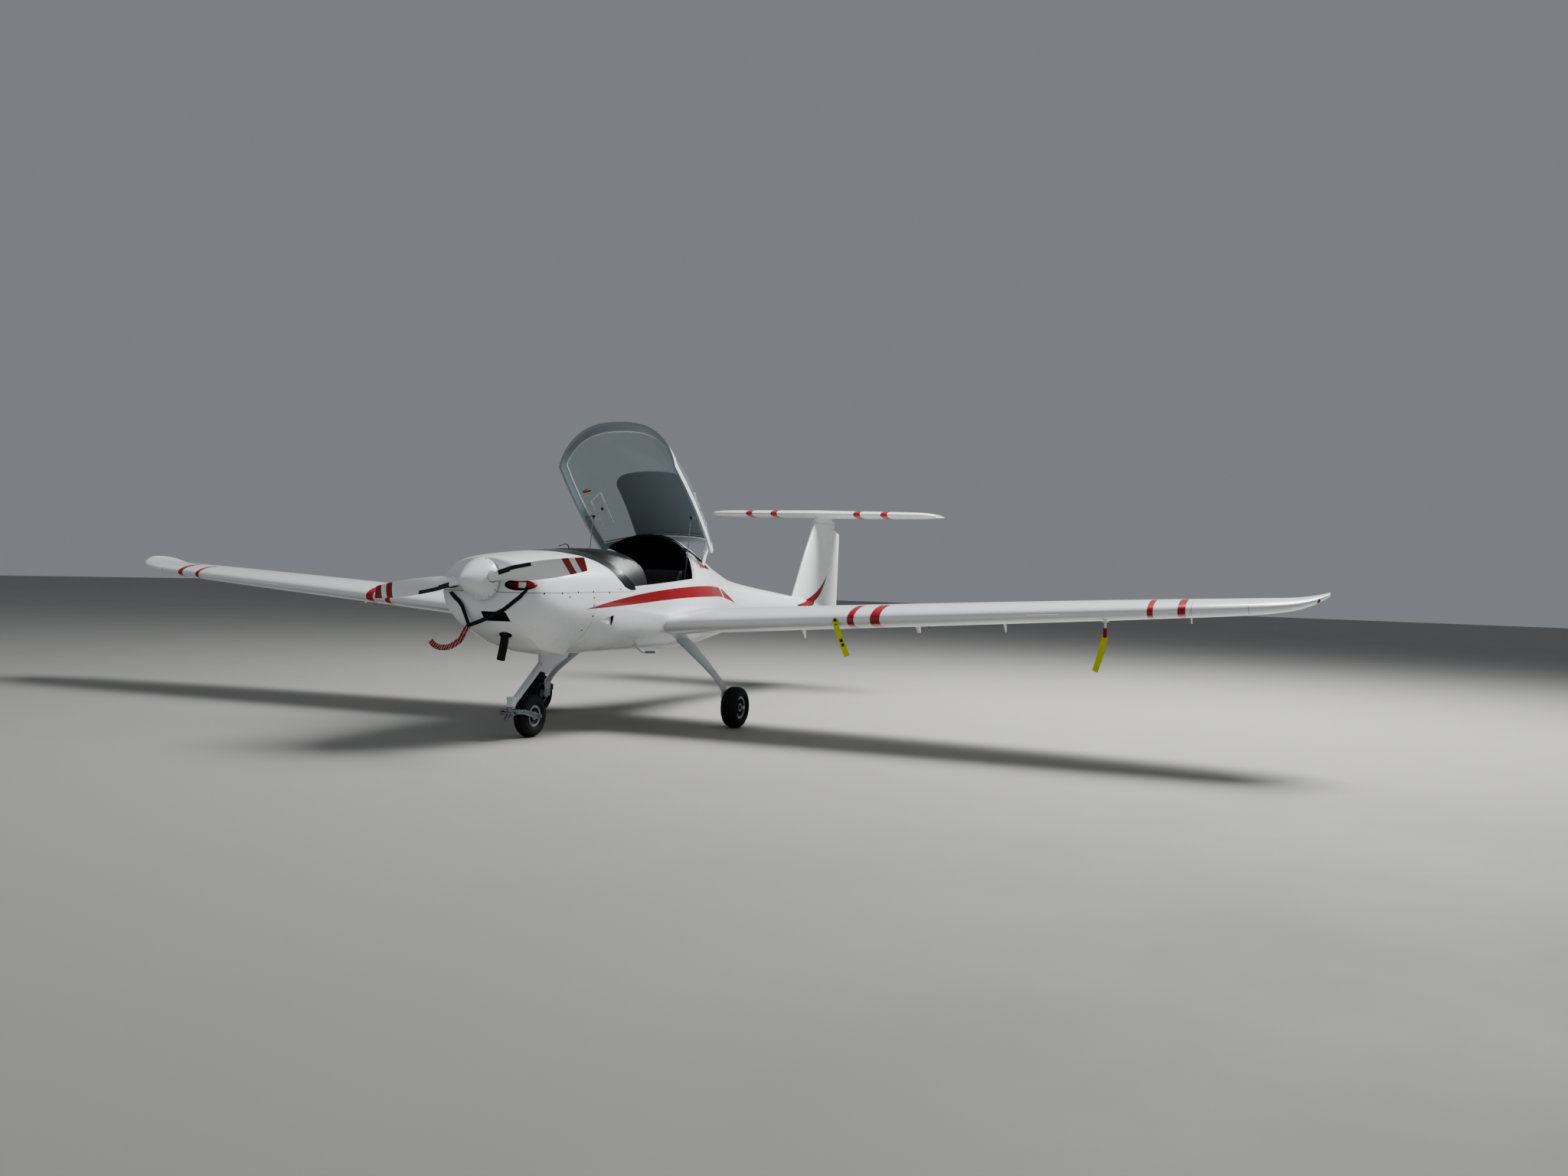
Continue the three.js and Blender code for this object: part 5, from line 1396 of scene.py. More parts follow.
def cushion(name, side, ends, up, seams):
    # rings across the seat, from the squab's front edge back, or from the foot of the back up
    width = seat["cushionHalf"]
    start, end = route([(s, seat["y"], z) for s, z in ends], side)
    run = end - start
    normal = Vector((0, 1, 0)).cross(run).normalized()
    if normal.dot(Vector(up)) < 0:
        normal.negate()
    rings = []
    for u in evenly(0, 1, 44):
        edge = max((1 - abs(2 * u - 1) ** 7) ** (1 / 2.4), 0.02)
        ring = []
        for k in range(48):
            t = 2 * math.pi * k / 48
            y = width * (0.93 + 0.07 * edge) * power(math.cos(t), 0.42)
            h = seat["thick"] / 2 * edge * power(math.sin(t), 0.55)
            if h > 0:
                crown = 1 + 0.16 * (1 - (y / width) ** 2) * math.sin(math.pi * u)
                bolster = 0.014 * smoothStep(abs(y), 0.115, 0.165) * edge
                groove = sum(math.exp(-(((u - line) / 0.018) ** 2)) for line in seams) * (abs(y) < 0.128)
                groove += math.exp(-(((abs(y) - seat["piping"]) / 0.0055) ** 2))
                h = h * crown + bolster - 0.0075 * min(1, groove) * edge
            ring.append(start + run * u + Vector((0, y, 0)) + normal * h)
        rings.append(ring)
    return skin(name, rings)


for word, side in bothSides:
    y = side * seat["y"]
    bucketOutline = sideView(seat["bucket"])
    bucket = sidePlate("seat_bucket_" + word, bucketOutline, y - seat["half"], y + seat["half"])
    cut(bucket, hullSolid("seat_room", 1.6, 2.9, 0.06, 0.054), "INTERSECT")
    plinth = block("seat_plinth", (xAt(2.13), y, 0.662), (0.38, 0.36, 0.064))
    cut(plinth, hullSolid("plinth_room", 1.6, 2.9, 0.06, 0.0243), "INTERSECT")
    cut(bucket, plinth, "UNION")
    finished(bevel(bucket, 0.006, 3, 50), "airframe", "blackPlastic", ("seat_" + word,))
    for key, up in (("squab", (0, 0, 1)), ("back", (1, 0, 0.3))):
        piece = cushion("seat_%s_%s" % (key, word), side, seat[key], up, seat[key + "Seams"])
        finished(piece, "airframe", "leather", angle=60)
    name = "control_stick_" + word
    post, grip = (
        tube(part, [(xAt(s), y, z) for s, z, _ in stick[key]], [row[2] for row in stick[key]], sides)
        for part, key, sides in ((name + "_skin", "tube", 24), ("stick_grip", "grip", 28))
    )
    boot = spun("stick_boot", stick["boot"], spot(1.8, y, 0.667), (0, 0, 1), 32)
    whole = joined(name + "_skin", [post, boot, grip])
    finished(whole, "airframe", "blackPlastic", (name,))
    button = spun("stick_button_" + word, stick["button"], spot(1.8425, y, 1.075), (1, 0, 0.35), 18)
    finished(button, "airframe", "redPaint")

# Boarding step: a bent tube with a rubber-sleeved foot bar and a flange on the skin
step = {
    "root": (1.629, 0.395, 0.738),
    "foot": (1.768, 0.452, 0.615),
    "bar": ((1.767, 0.444, 0.617), (1.784, 0.564, 0.623)),
    "radius": 0.0102,
    "bend": 0.03,
    "flange": (
        (0, -0.006), (0.021, -0.006), (0.021, 0.0005), (0.0185, 0.003), (0.0125, 0.0045), (0, 0.0045),
    ),
    "sleeveFrom": 0.036,
    "sleeveGrooves": 11,
}
sleeve = [(0.0, 0.0), (0.0106, 0.0), (0.0124, 0.001)]
for k in range(step["sleeveGrooves"]):
    x = 0.003 + 0.0068 * k
    sleeve += [(0.0124, x), (0.0124, x + 0.0038), (0.0113, x + 0.0044), (0.0113, x + 0.0062)]
sleeve += [(0.0124, 0.0775), (0.0124, 0.0795), (0.0106, 0.0805), (0.0, 0.0805)]
for word, side in bothSides:
    a, b, c, d = route((step["root"], step["foot"], *step["bar"]), side)
    across, run = (d - c).normalized(), (b - a).normalized()
    low, high = b - run * step["bend"], b + across * step["bend"]
    bend = [low] + [low.lerp(b, u).lerp(b.lerp(high, u), u) for u in (0.25, 0.5, 0.75)] + [high]
    post = tube("step_%s_skin" % word, [a, *bend, c.lerp(d, 0.5), d], step["radius"], 24)
    cut(post, hullSolid("step_room", 1.4, 2.0, 0.03, -0.0003))
    meet = a  # walks down the tube until it's outside the hull
    for k in range(60):
        bottom, _, half, wide, _, below = columnsAt(hullTable, noseX - meet.x)
        if (abs(meet.y) / half) ** below + (abs(meet.z - wide) / (wide - bottom)) ** below > 1:
            break
        meet = meet + run * 0.002
    flange = spun("step_flange", step["flange"], meet + run * 0.002, (0.1, side * 0.62, -0.78), 32)
    whole = joined("step_%s_skin" % word, [post, flange])
    finished(whole, "airframe", "greyEnamel", ("step_" + word,))
    grip = spun("step_sleeve_" + word, sleeve, c + across * step["sleeveFrom"], across, 28)
    finished(grip, "airframe", "seal")

# Gas struts: painted cylinder with a crimped end, ball sockets, and a ground rod
strut = {
    "foot": (2.38, 0.47, 1.02),
    "eyeShut": (2.053, 1.215),
    "tube": 0.358,
    "radius": 0.009,
    "rod": 0.0045,
    "pinHalf": 0.009,
}
hx, hz = xAt(canopyHinge["s"]), canopyHinge["z"]
turn = math.radians(canopy["angle"])
dx, dz = xAt(strut["eyeShut"][0]) - hx, strut["eyeShut"][1] - hz
eyeOpen = (hx + dx * math.cos(turn) - dz * math.sin(turn), hz + dx * math.sin(turn) + dz * math.cos(turn))
r, bore, end = strut["radius"], strut["rod"] + 0.002, strut["tube"]
strutProfile = (
    (0, 0.0135), (0.0045, 0.0135), (0.0045, 0.015), (r - 0.001, 0.0155), (r, 0.0175), (r, 0.3495),
    (r - 0.0006, 0.3505), (r - 0.0006, 0.352), (r, 0.353), (r, 0.3565), (r - 0.0012, end), (bore, end),
    (bore, 0.0165), (0, 0.0165),
)
pin = Vector((0, strut["pinHalf"], 0))
for word, side in bothSides:
    foot = route([strut["foot"]], side)[0]
    eye = Vector((eyeOpen[0], foot.y, eyeOpen[1]))
    run = (eye - foot).normalized()
    body, rodBody = "strut_" + word, "strut_rod_" + word
    cylinder = spun("strut_tube_%s_skin" % word, strutProfile, foot, run, 28)
    socket = tube("socket", [foot - pin, foot + pin], 0.0108, 24)
    shank = tube("shank", [foot, foot + run * 0.0145], [0.0075, 0.0055])
    finished(cylinder, body, "blackEnamel", ("strut_tube_" + word,))
    finished(joined("strut_socket_" + word, [socket, shank]), body, "blackPlastic")
    rod = [foot + run * (end - 0.0185), foot + run * ((eye - foot).length - 0.008)]
    rod = tube("strut_rod_%s_skin" % word, rod, strut["rod"])
    finished(rod, rodBody, "steel", (rodBody,))
    ring = tube("eye", [eye - pin, eye + pin], 0.0098, 24)
    neck = tube("neck", [eye - run * 0.0215, eye], [0.0055, 0.0072])
    finished(joined("strut_eye_" + word, [ring, neck]), rodBody, "blackPlastic")

print("spinner and propeller")
prop = {
    "axisZ": 1.163,
    "station": 0.2,
    "turn": 8,  # degrees, the left blade up
    "spinnerRadius": 0.15,
    "spinnerLength": 0.258,
    "noseRun": 0.246,  # length of the curved nose
    "pocketRadius": 0.041,
    "screws": 14,
    "screwStation": 0.232,
    "black": (0.2, 0.47),  # span of the dark leading-edge strip
    "blackWidth": 0.027,
    "bands": (0.726, 0.778, 0.822),  # red, white and red again out to the tip
    "bandRed": "#8f1a22",
}
# Blade sections: radius, chord, thickness, pitch in degrees
bladeTable = (
    (0.060, 0.076, 0.076, 64),
    (0.110, 0.076, 0.074, 63),
    (0.150, 0.082, 0.056, 61),
    (0.220, 0.112, 0.036, 52),
    (0.340, 0.140, 0.024, 40),
    (0.520, 0.142, 0.018, 30),
    (0.720, 0.124, 0.013, 23),
    (0.860, 0.099, 0.0095, 19.2),
    (0.8765, 0.094, 0.0085, 19),
)
bladeRoot, bladeTip = bladeTable[0][0], bladeTable[-1][0]


def bladeBands(tree, s, y, z):
    # tip bands by distance from the shaft, their edges leaning a little
    up = calc(tree, "SUBTRACT", z, prop["axisZ"])
    reach = calc(tree, "POWER", lineOf(tree, y, y, calc(tree, "MULTIPLY", up, up)), 0.5)
    turn = math.radians(prop["turn"])
    raised, shifted = (calc(tree, "MULTIPLY", v, f(turn)) for v, f in ((up, math.cos), (y, math.sin)))
    across = calc(tree, "SUBTRACT", raised, shifted)
    lean = calc(tree, "MULTIPLY", across, calc(tree, "SIGN", y))
    reach = lineOf(tree, lean, 0.28, reach)
    a, b, c = prop["bands"]
    return anyOf(tree, isBetween(tree, reach, a, b), isOver(tree, reach, c)), prop["bandRed"]


materials["bladePaint"] = paintedComposite("painted wood composite blade", (bladeBands,))


def bladeRing(radius, count=44):
    chord, thick, pitch = columnsAt(bladeTable, radius)
    turn = math.radians(pitch)
    taper = 0.42 * smoothStep(radius, 0.13, 0.3)
    ring = []
    for i in range(count):
        t = 2 * math.pi * i / count
        a = chord / 2 * math.cos(t)
        b = thick / 2 * math.sin(t) * (1 + taper * math.cos(t)) + 0.3 * taper * thick * math.sin(t) ** 2
        ring.append(
            (a * math.sin(turn) + b * math.cos(turn), radius, a * math.cos(turn) - b * math.sin(turn))
        )
    return ring


hub = spot(prop["station"], 0, prop["axisZ"])


def bladePiece(name, turn):
    radii = evenly(bladeRoot, 0.86, 60) + [0.866, 0.871, 0.8745, bladeTip]
    piece = paint(skin(name, [bladeRing(r) for r in radii]), "bladePaint", "blackEnamel")
    low, high = prop["black"]
    for face in piece.data.polygons:
        x, r, z = face.center
        pitch = math.radians(columnAt(bladeTable, 3, max(bladeRoot, min(bladeTip, r))))
        along = x * math.sin(pitch) + z * math.cos(pitch)
        if low < r < high and along > columnAt(bladeTable, 1, r) / 2 - prop["blackWidth"]:
            face.material_index = 1
    bevel(piece, 0.0015, 2, 60)
    piece.data.transform(Matrix.Translation(hub) @ Matrix.Rotation(math.radians(turn), 4, "X"))
    return smooth(piece)


def spinnerProfile():
    run, radius, whole = prop["noseRun"], prop["spinnerRadius"], prop["spinnerLength"]
    rows = [(0.0, 0.0)]
    for i in range(1, 41):
        d = run * (1 - math.cos(math.pi / 2 * i / 40))
        rows.append((radius * (1 - ((run - d) / run) ** 1.25) ** 0.78, -d))
    joint = whole - 0.01  # the backplate's joint line, a shallow groove
    rows += [(radius, -joint), (radius - 0.003, -joint - 0.0006), (radius - 0.003, -joint - 0.0026)]
    rows += [(radius, -joint - 0.0032), (radius, -whole + 0.002), (radius - 0.002, -whole), (0.0, -whole)]
    return rows


spinner = spun("spinner_skin", spinnerProfile(), spot(0, 0, prop["axisZ"]), (1, 0, 0), 96)
for turn in (prop["turn"], prop["turn"] + 180):
    out = Vector((0, math.cos(math.radians(turn)), math.sin(math.radians(turn))))
    cut(spinner, bar("pocket", hub, out, 0.0617, 0.21, prop["pocketRadius"], 48))


# Dome screws with a socket, set along given places and directions
def screwSet(name, spots, radius, proud):
    profile = (
        (0, proud - 0.0012), (radius * 0.35, proud - 0.0012), (radius * 0.36, proud),
        (radius * 0.8, proud * 0.8), (radius, 0.0001), (radius, -0.002), (0, -0.002),
    )
    up = Vector((0, 0, 1))
    head = spun("screw", profile, (0, 0, 0), up, 14)
    made = []
    for place, normal in spots:
        one = copyOf(head, "screw_copy")
        turn = up.rotation_difference(Vector(normal)).to_matrix().to_4x4()
        one.data.transform(Matrix.Translation(place) @ turn)
        made.append(one)
    bpy.data.objects.remove(head)
    return smooth(joined(name, made), 50)


spinnerScrews = []
for i in range(prop["screws"]):
    t = 2 * math.pi * (i + 0.5) / prop["screws"] + math.radians(prop["turn"])
    out = Vector((0, math.cos(t), math.sin(t)))
    place = spot(prop["screwStation"], 0, prop["axisZ"]) + out * 0.1466
    spinnerScrews.append((place, (out + Vector((0.3, 0, 0))).normalized()))
finished(spinner, "propeller", "spinnerPaint", ("spinner",))
done(screwSet("spinner_screws", spinnerScrews, 0.0055, 0.001), "propeller", "blackEnamel")
for name, turn in (("blade_left", prop["turn"]), ("blade_right", prop["turn"] + 180)):
    done(bladePiece(name + "_skin", turn), "propeller", stands=(name,))

print("screws, plugs and covers")


# Point on the hull's skin at a station and height, and the skin's outward direction there
def onSkin(s, z, side):
    def reach(s, z):
        bottom, top, half, wide, above, below = columnsAt(hullTable, s)
        share, exponent = (z - wide) / (top - wide), above
        if z <= wide:
            share, exponent = (wide - z) / (wide - bottom), below
        return half * (1 - min(share, 0.999) ** exponent) ** (1 / exponent)

    step = 0.004
    along = Vector((-2 * step, reach(s + step, z) - reach(s - step, z), 0))
    up = Vector((0, reach(s, z + step) - reach(s, z - step), 2 * step))
    normal = up.cross(along).normalized()
    if normal.y < 0:
        normal.negate()
    return spot(s, side * reach(s, z), z), Vector((normal.x, side * normal.y, normal.z))


cowlScrews = (
    (0.402, 1.073), (0.577, 1.077), (0.753, 1.084), (0.928, 1.09), (1.119, 1.085), (1.266, 1.11),
    (0.933, 1.045), (0.942, 0.913), (0.903, 0.807), (0.933, 0.99), (0.66, 1.05), (1.29, 1.21),
)
inlet = cowl["inlet"]
for word, side in bothSides:
    spots = []
    for s, z in cowlScrews:
        place, normal = onSkin(s, z, side)
        near = [piece.closest_point_on_mesh(place)[1] for piece in (upperCowl, lowerCowl, cabin)]
        spots.append((min(near, key=lambda point: (point - place).length), normal))
    screws = screwSet("cowl_screws_" + word, spots, 0.0075, 0.0014)
    done(screws, "airframe", "blackPlastic")
    name = "inlet_plug_" + word
    plug = bevel(ovalBar(name + "_skin", side, -0.0006, 0.318, 0.41, 64), 0.009, 4)
    finished(plug, "airframe", "coverCloth", (name,))
    labelAt = spot(0.3176, side * (inlet["y"] + 0.006), inlet["z"])
    label = block("plug_label_" + word, labelAt, (0.0014, 0.062, 0.04), 0.0005)
    done(label, "airframe", "label")
    turns = [0.1309 * k for k in range(49)]
    path = [
        spot(0.3195, side * inlet["y"] + 0.098 * math.cos(t), inlet["z"] + 0.0295 * math.sin(t))
        for t in turns
    ]
    finished(tube("plug_piping_" + word, path, 0.0022, 10), "airframe", "webbing")


def curveThrough(points, steps=6):
    path = []
    for i in range(len(points) - 1):
        a, b = points[max(i - 1, 0)], points[i]
        c, d = points[i + 1], points[min(i + 2, len(points) - 1)]
        for k in range(steps):
            u = k / steps
            square, cube = (2 * a - 5 * b + 4 * c - d) * u * u, (3 * b - a - 3 * c + d) * u**3
            path.append(0.5 * (2 * b + (c - a) * u + square + cube))
    return path + [points[-1]]


# A flat strip of cloth along a path: it faces forward, and waves or twists a little
def ribbon(name, path, width, thick, twist=0.0, wave=0.0):
    rings, length, last = [], 0.0, len(path) - 1
    for i, at in enumerate(path):
        run = (path[min(i + 1, last)] - path[max(i - 1, 0)]).normalized()
        across = run.cross(Vector((1, 0, 0))).normalized()
        face = across.cross(run)
        lean = twist * math.sin(math.pi * i / last * 1.5)
        level, tilt = math.cos(lean), math.sin(lean)
        across, face = across * level + face * tilt, face * level - across * tilt
        at = at + face * wave * math.sin(length * 38)
        shares = (-0.5, -0.25, 0, 0.25, 0.5)
        ring = [at + across * width * u + face * (thick / 2) for u in shares]
        rings.append(ring + [at + across * width * u - face * (thick / 2) for u in reversed(shares)])
        if i:
            length += (path[i] - path[i - 1]).length
    return skin(name, rings), length


def stripesAlong(name, first, second, pitch, share, facing):
    # cloth woven or printed in two colours: bars across the strip, by distance from a point
    made, tree, surface, place, _ = startMaterial(name, {"IOR": 1.5, "Metallic": 0.0})
    tint = finishSurface(tree, surface, place, first, (0.6, 0.75), (60, 900), 0.3)
    _, y, z = addNode(tree, "SeparateXYZ", inputs={"Vector": place}).outputs
    run = calc(tree, "ADD", y, calc(tree, "MULTIPLY", z, facing))
    run = lineOf(tree, noiseOf(tree, place, 90.0, 1.0), pitch * 0.8, run)
    stripes = isUnder(tree, calc(tree, "FLOORED_MODULO", run, pitch), pitch * share)
    tree.links.new(mixOf(tree, stripes, tint, toLinear(second)), surface.inputs["Base Color"])
    return made


ribbonReds = ("#83141d", "#8f1c25")
materials["streamerCloth"] = stripesAlong(
    "red ribbon with pale woven bars", ribbonReds, "#c9b4b4", 0.02, 0.3, -0.6
)


# A hung ribbon: drawn, finished, and its length printed
def hungRibbon(name, path, width, thick, material, stands=(), twist=0.0, wave=0.0):
    piece, run = ribbon(name, path, width, thick, twist, wave)
    finished(piece, "airframe", material, stands)
    print(name, round(run, 4))


strap = {
    "width": 0.028,
    "thick": 0.0016,
    "left": (
        (0.316, 0.330, 1.118), (0.302, 0.336, 1.098), (0.291, 0.320, 1.075), (0.284, 0.296, 1.045),
        (0.278, 0.249, 1.009), (0.275, 0.181, 0.958), (0.274, 0.145, 0.939), (0.257, 0.010, 0.873),
        (0.257, -0.099, 0.835),
    ),
    "right": (
        (0.316, -0.300, 1.120), (0.302, -0.300, 1.095), (0.286, -0.285, 1.070), (0.266, -0.240, 1.035),
        (0.257, -0.170, 0.980), (0.2565, -0.130, 0.905), (0.2575, -0.099, 0.835),
    ),
    "streamer": (
        (0.257, -0.099, 0.835), (0.257, -0.134, 0.786), (0.257, -0.161, 0.738), (0.257, -0.204, 0.704),
        (0.257, -0.260, 0.676), (0.257, -0.331, 0.668), (0.257, -0.386, 0.682), (0.257, -0.422, 0.713),
    ),
    "knot": ((0, -0.016), (0.009, -0.014), (0.0135, -0.006), (0.014, 0.003), (0.011, 0.011), (0, 0.015)),
}
for word, stands in (("left", ("plug_strap",)), ("right", ())):
    path = curveThrough(route(strap[word]))
    rest = "inlet_plug_%s_skin" % word
    hungRibbon("strap_" + word, path, strap["width"], strap["thick"], "webbing", stands)
path = curveThrough(route(strap["streamer"]), 8)
hungRibbon("streamer", path, 0.04, 0.0012, "streamerCloth", (), 0.35, 0.003)
knot = spun("strap_knot", strap["knot"], spot(*strap["streamer"][0]), (0.3, -0.5, -0.8), 20)
finished(knot, "airframe", "webbing")

# Pin with its flag in the left wing's leading edge, and the covered probe under the wing
flag = {
    "y": 1.99,
    "width": 0.045,
    "thick": 0.0014,
    "fall": ((0, 0.004), (0.02, -0.062), (0.052, -0.14), (0.08, -0.205), (0.107, -0.268)),
    "marks": ((0.14, 0.17), (0.5, 0.62), (0.66, 0.72)),
    "pin": (
        (0, -0.03), (0.004, -0.03), (0.004, 0.002), (0.011, 0.002), (0.0125, 0.004), (0.0125, 0.009),
        (0.01, 0.0115), (0, 0.012),
    ),
}
width, thick = flag["width"], flag["thick"]
s, _, z, _ = columnsAt(wingTable, flag["y"])
path = curveThrough(route([(s - 0.006, flag["y"] + dy, z + dz) for dy, dz in flag["fall"]]))
rest, stands = "wing_left_skin", ("pin_flag",)
hungRibbon("pin_flag_cloth", path, width, thick, "yellowFlag", stands, 0.0, 0.0015)
for k, (low, high) in enumerate(flag["marks"]):
    a, b = (path[int(u * (len(path) - 1))] for u in (low, high))
    line = [a + (b - a) * i / 6 + Vector((0.0007, 0, 0)) for i in range(7)]
    mark, _ = ribbon("pin_flag_mark_%d" % (k + 1), line, 0.022, 0.0018, 0.0, 0.0015)
    done(mark, "airframe", "blackPlastic")
pinAt = spot(s - 0.008, flag["y"] + 0.003, z + 0.001)
finished(spun("flag_pin", flag["pin"], pinAt, (1, 0, 0), 24), "airframe", "blackPlastic")

probe = {
    "y": 3.93,
    "base": ((0, -0.012), (0.03, -0.012), (0.028, -0.002), (0.012, 0.003), (0, 0.003)),
    "sleeve": (
        (0.0092, 0.001), (0.0125, 0), (0.014, 0.002), (0.0145, 0.018), (0.0136, 0.034), (0.0148, 0.05),
        (0.0142, 0.064), (0.0115, 0.0688), (0, 0.07),
    ),
    "flag": ((0, 0.886), (-0.008, 0.84), (-0.022, 0.77), (-0.041, 0.7), (-0.064, 0.624)),
}
lead, chord, level, _ = columnsAt(wingTable, probe["y"])
x, y, down = xAt(lead + 0.36 * chord), probe["y"], (0, 0, -1)
mast = tube("probe_mast", [(x, y, level - 0.02), (x, y, 0.92), (x, y, 0.893)], [0.011, 0.009, 0.009])
base = spun("probe_base", probe["base"], (x, y, level - 0.066), down, 24)
finished(joined("probe_mast", [mast, base]), "airframe", "whitePaint")
cover = spun("probe_sleeve", probe["sleeve"], (x, y, 0.943), down, 28)
finished(cover, "airframe", "coverCloth", ("probe_cover",))
path = curveThrough([Vector((x + 0.0005, y + dy, z)) for dy, z in probe["flag"]])
hungRibbon("probe_flag", path, width, thick, "yellowFlag", (), 0.25, 0.002)

# Small fittings of the wings: stall strips, hinge brackets, tie-down rings, position lights
fittings = {
    "strip": (3.436, 0.227),
    "stripSection": ((0.004, -0.008), (-0.006, -0.001), (0.004, 0.005)),
    "brackets": ((1.4, 0.118, 0.006), (2.39, 0.098, 0.022), (3.1, 0.108, 0.006), (4.5, 0.08, 0.006)),
    "tieDown": 2.62,
    "tieRadius": 0.02,
    "tip": 5.36,
    "lens": (
        (0, -0.03), (0.012, -0.026), (0.018, -0.012), (0.0185, 0.004), (0.0135, 0.017), (0.006, 0.0225),
        (0, 0.024),
    ),
}
for word, side in bothSides:
    strip = []
    for i in range(9):
        y = fittings["strip"][0] + fittings["strip"][1] * i / 8
        s, chord, z, ratio = columnsAt(wingTable, y)
        strip.append(route([(s + d, y, z + h) for d, h in fittings["stripSection"]], side))
    done(skin("stall_strip_" + word, strip), "airframe", "whitePaint")
    brackets = []
    for y, drop, thick in fittings["brackets"]:
        at, half = wingHinge(y, surfaces["hinge"])
        x, z, low = at.x, at.z - half, at.z - half - drop
        outline = [
            (x + 0.16, z - 0.004), (x + 0.012, z + 0.012), (x + 0.012, low + 0.006), (x + 0.018, low),
            (x + 0.036, low + 0.002), (x + 0.075, z - drop * 0.62),
        ]
        bracket = sidePlate("bracket", outline, side * y - thick / 2, side * y + thick / 2)
        brackets.append(bevel(bracket, 0.002, 2))
    finished(joined("hinge_brackets_" + word, brackets), "airframe", "whitePaint")
    s, chord, z, ratio = columnsAt(wingTable, fittings["tieDown"])
    r, at = fittings["tieRadius"], spot(s + 0.3 * chord, side * fittings["tieDown"], z - 0.078)
    turns = [0.2618 * k for k in range(25)]
    ring = [at + Vector((r * math.cos(t), 0, r * math.sin(t))) for t in turns]
    finished(tube("tie_down_" + word, ring, 0.0035, 10), "airframe", "zincSteel")
    s, chord, z, ratio = columnsAt(wingTable, fittings["tip"])
    at = spot(s + 0.035, side * fittings["tip"], z)
    lens = spun("tip_light_" + word, fittings["lens"], at, (0.85, side * 0.5, 0), 28)
    finished(lens, "airframe", "redLens" if side > 0 else "greenLens")

# A thin bent aerial stands on the glare shield
aerial = {
    "y": -0.1,
    "line": (
        (1.536, 1.404), (1.532, 1.413), (1.522, 1.431), (1.499, 1.44), (1.479, 1.443), (1.448, 1.44),
        (1.42, 1.436),
    ),
    "foot": ((0, -0.006), (0.014, -0.006), (0.013, 0.001), (0.007, 0.004), (0, 0.004)),
}
y = aerial["y"]
wire = tube("deck_aerial", curveThrough(route([(s, y, z) for s, z in aerial["line"]])), 0.0036, 14)
tip = tube("tip", route([(1.428, y, 1.4365), (1.396, y, 1.428)]), [0.0052, 0.0046], 16)
foot = spun("foot", aerial["foot"], spot(1.537, y, 1.412), (0, 0, 1), 24)
finished(joined("deck_aerial", [wire, tip, foot]), "airframe", "blackPlastic")

print("wheels and landing gear")
mainWheel = {"radius": 0.166, "half": 0.069, "seat": 0.084, "bore": 0.017, "place": (2.45, 0.95, 0.166)}
noseWheel = {"radius": 0.157, "half": 0.059, "seat": 0.072, "bore": 0.013, "place": (0.905, 0.0, 0.157)}


def tyreProfile(radius, half, seat):
    side = [
        (radius - 0.0035, 0.5), (radius - 0.0075, 0.66), (radius - 0.016, 0.82), (radius - 0.028, 0.93),
        (radius - 0.042, 0.985), (radius - 0.055, 0.99), (seat + 0.021, 0.9), (seat + 0.0145, 0.83),
        (seat + 0.0115, 0.76), (seat + 0.0108, 0.7), (seat + 0.0102, 0.6), (seat + 0.001, 0.57),
    ]
    crown = [(radius - 0.0022, 0.4)]
    wide, narrow = 0.035, 0.022
    for groove in (0.3, 0.1):
        top, bottom = radius - 0.0012 * groove, radius - 0.0045
        crown += [(top, groove + wide), (bottom, groove + narrow)]
        crown += [(bottom, groove - narrow), (top, groove - wide)]
    right = [(r, share * half) for r, share in side[::-1] + crown]
    return right + [(r, -d) for r, d in reversed(right)]


def rimProfile(half, seat, bore):
    w = half * 0.7
    row = (
        (bore, 0.93), (bore + 0.018, 0.95), (bore + 0.0215, 0.9), (bore + 0.024, 0.5), (bore + 0.029, 0.4),
        (seat - 0.021, 0.38), (seat - 0.0155, 0.46), (seat - 0.0125, 0.9), (seat - 0.011, 0.985),
        (seat + 0.006, 1), (seat + 0.009, 0.985), (seat + 0.0093, 0.93), (seat + 0.0065, 0.88),
        (seat - 0.0004, 0.85),
    )
    return [(r, -w * share) for r, share in row] + [(r, w * share) for r, share in reversed(row)]


def aroundWheel(centre, radius, t):
    return Vector(centre) + Vector((math.cos(t), 0, math.sin(t))) * radius


# Hexagon nuts with a washer and a stud end, on a circle
def ringOfBolts(name, centre, radius, count, along):
    out = Vector(along)
    nut, washer, height, stud = 0.0058, 0.0075, 0.006, 0.0034
    made = []
    for i in range(count):
        at = aroundWheel(centre, radius, 2 * math.pi * (i + 0.25) / count)
        made.append(bar("washer", at, out, 0, 0.0012, washer, 20))
        made.append(bar("nut", at, out, 0.001, height, nut, 6))
        end = [at, at + out * (height + 0.003), at + out * (height + 0.0042)]
        made.append(tube("stud", end, [stud, stud, stud * 0.75], 12))
    return joined(name, made)


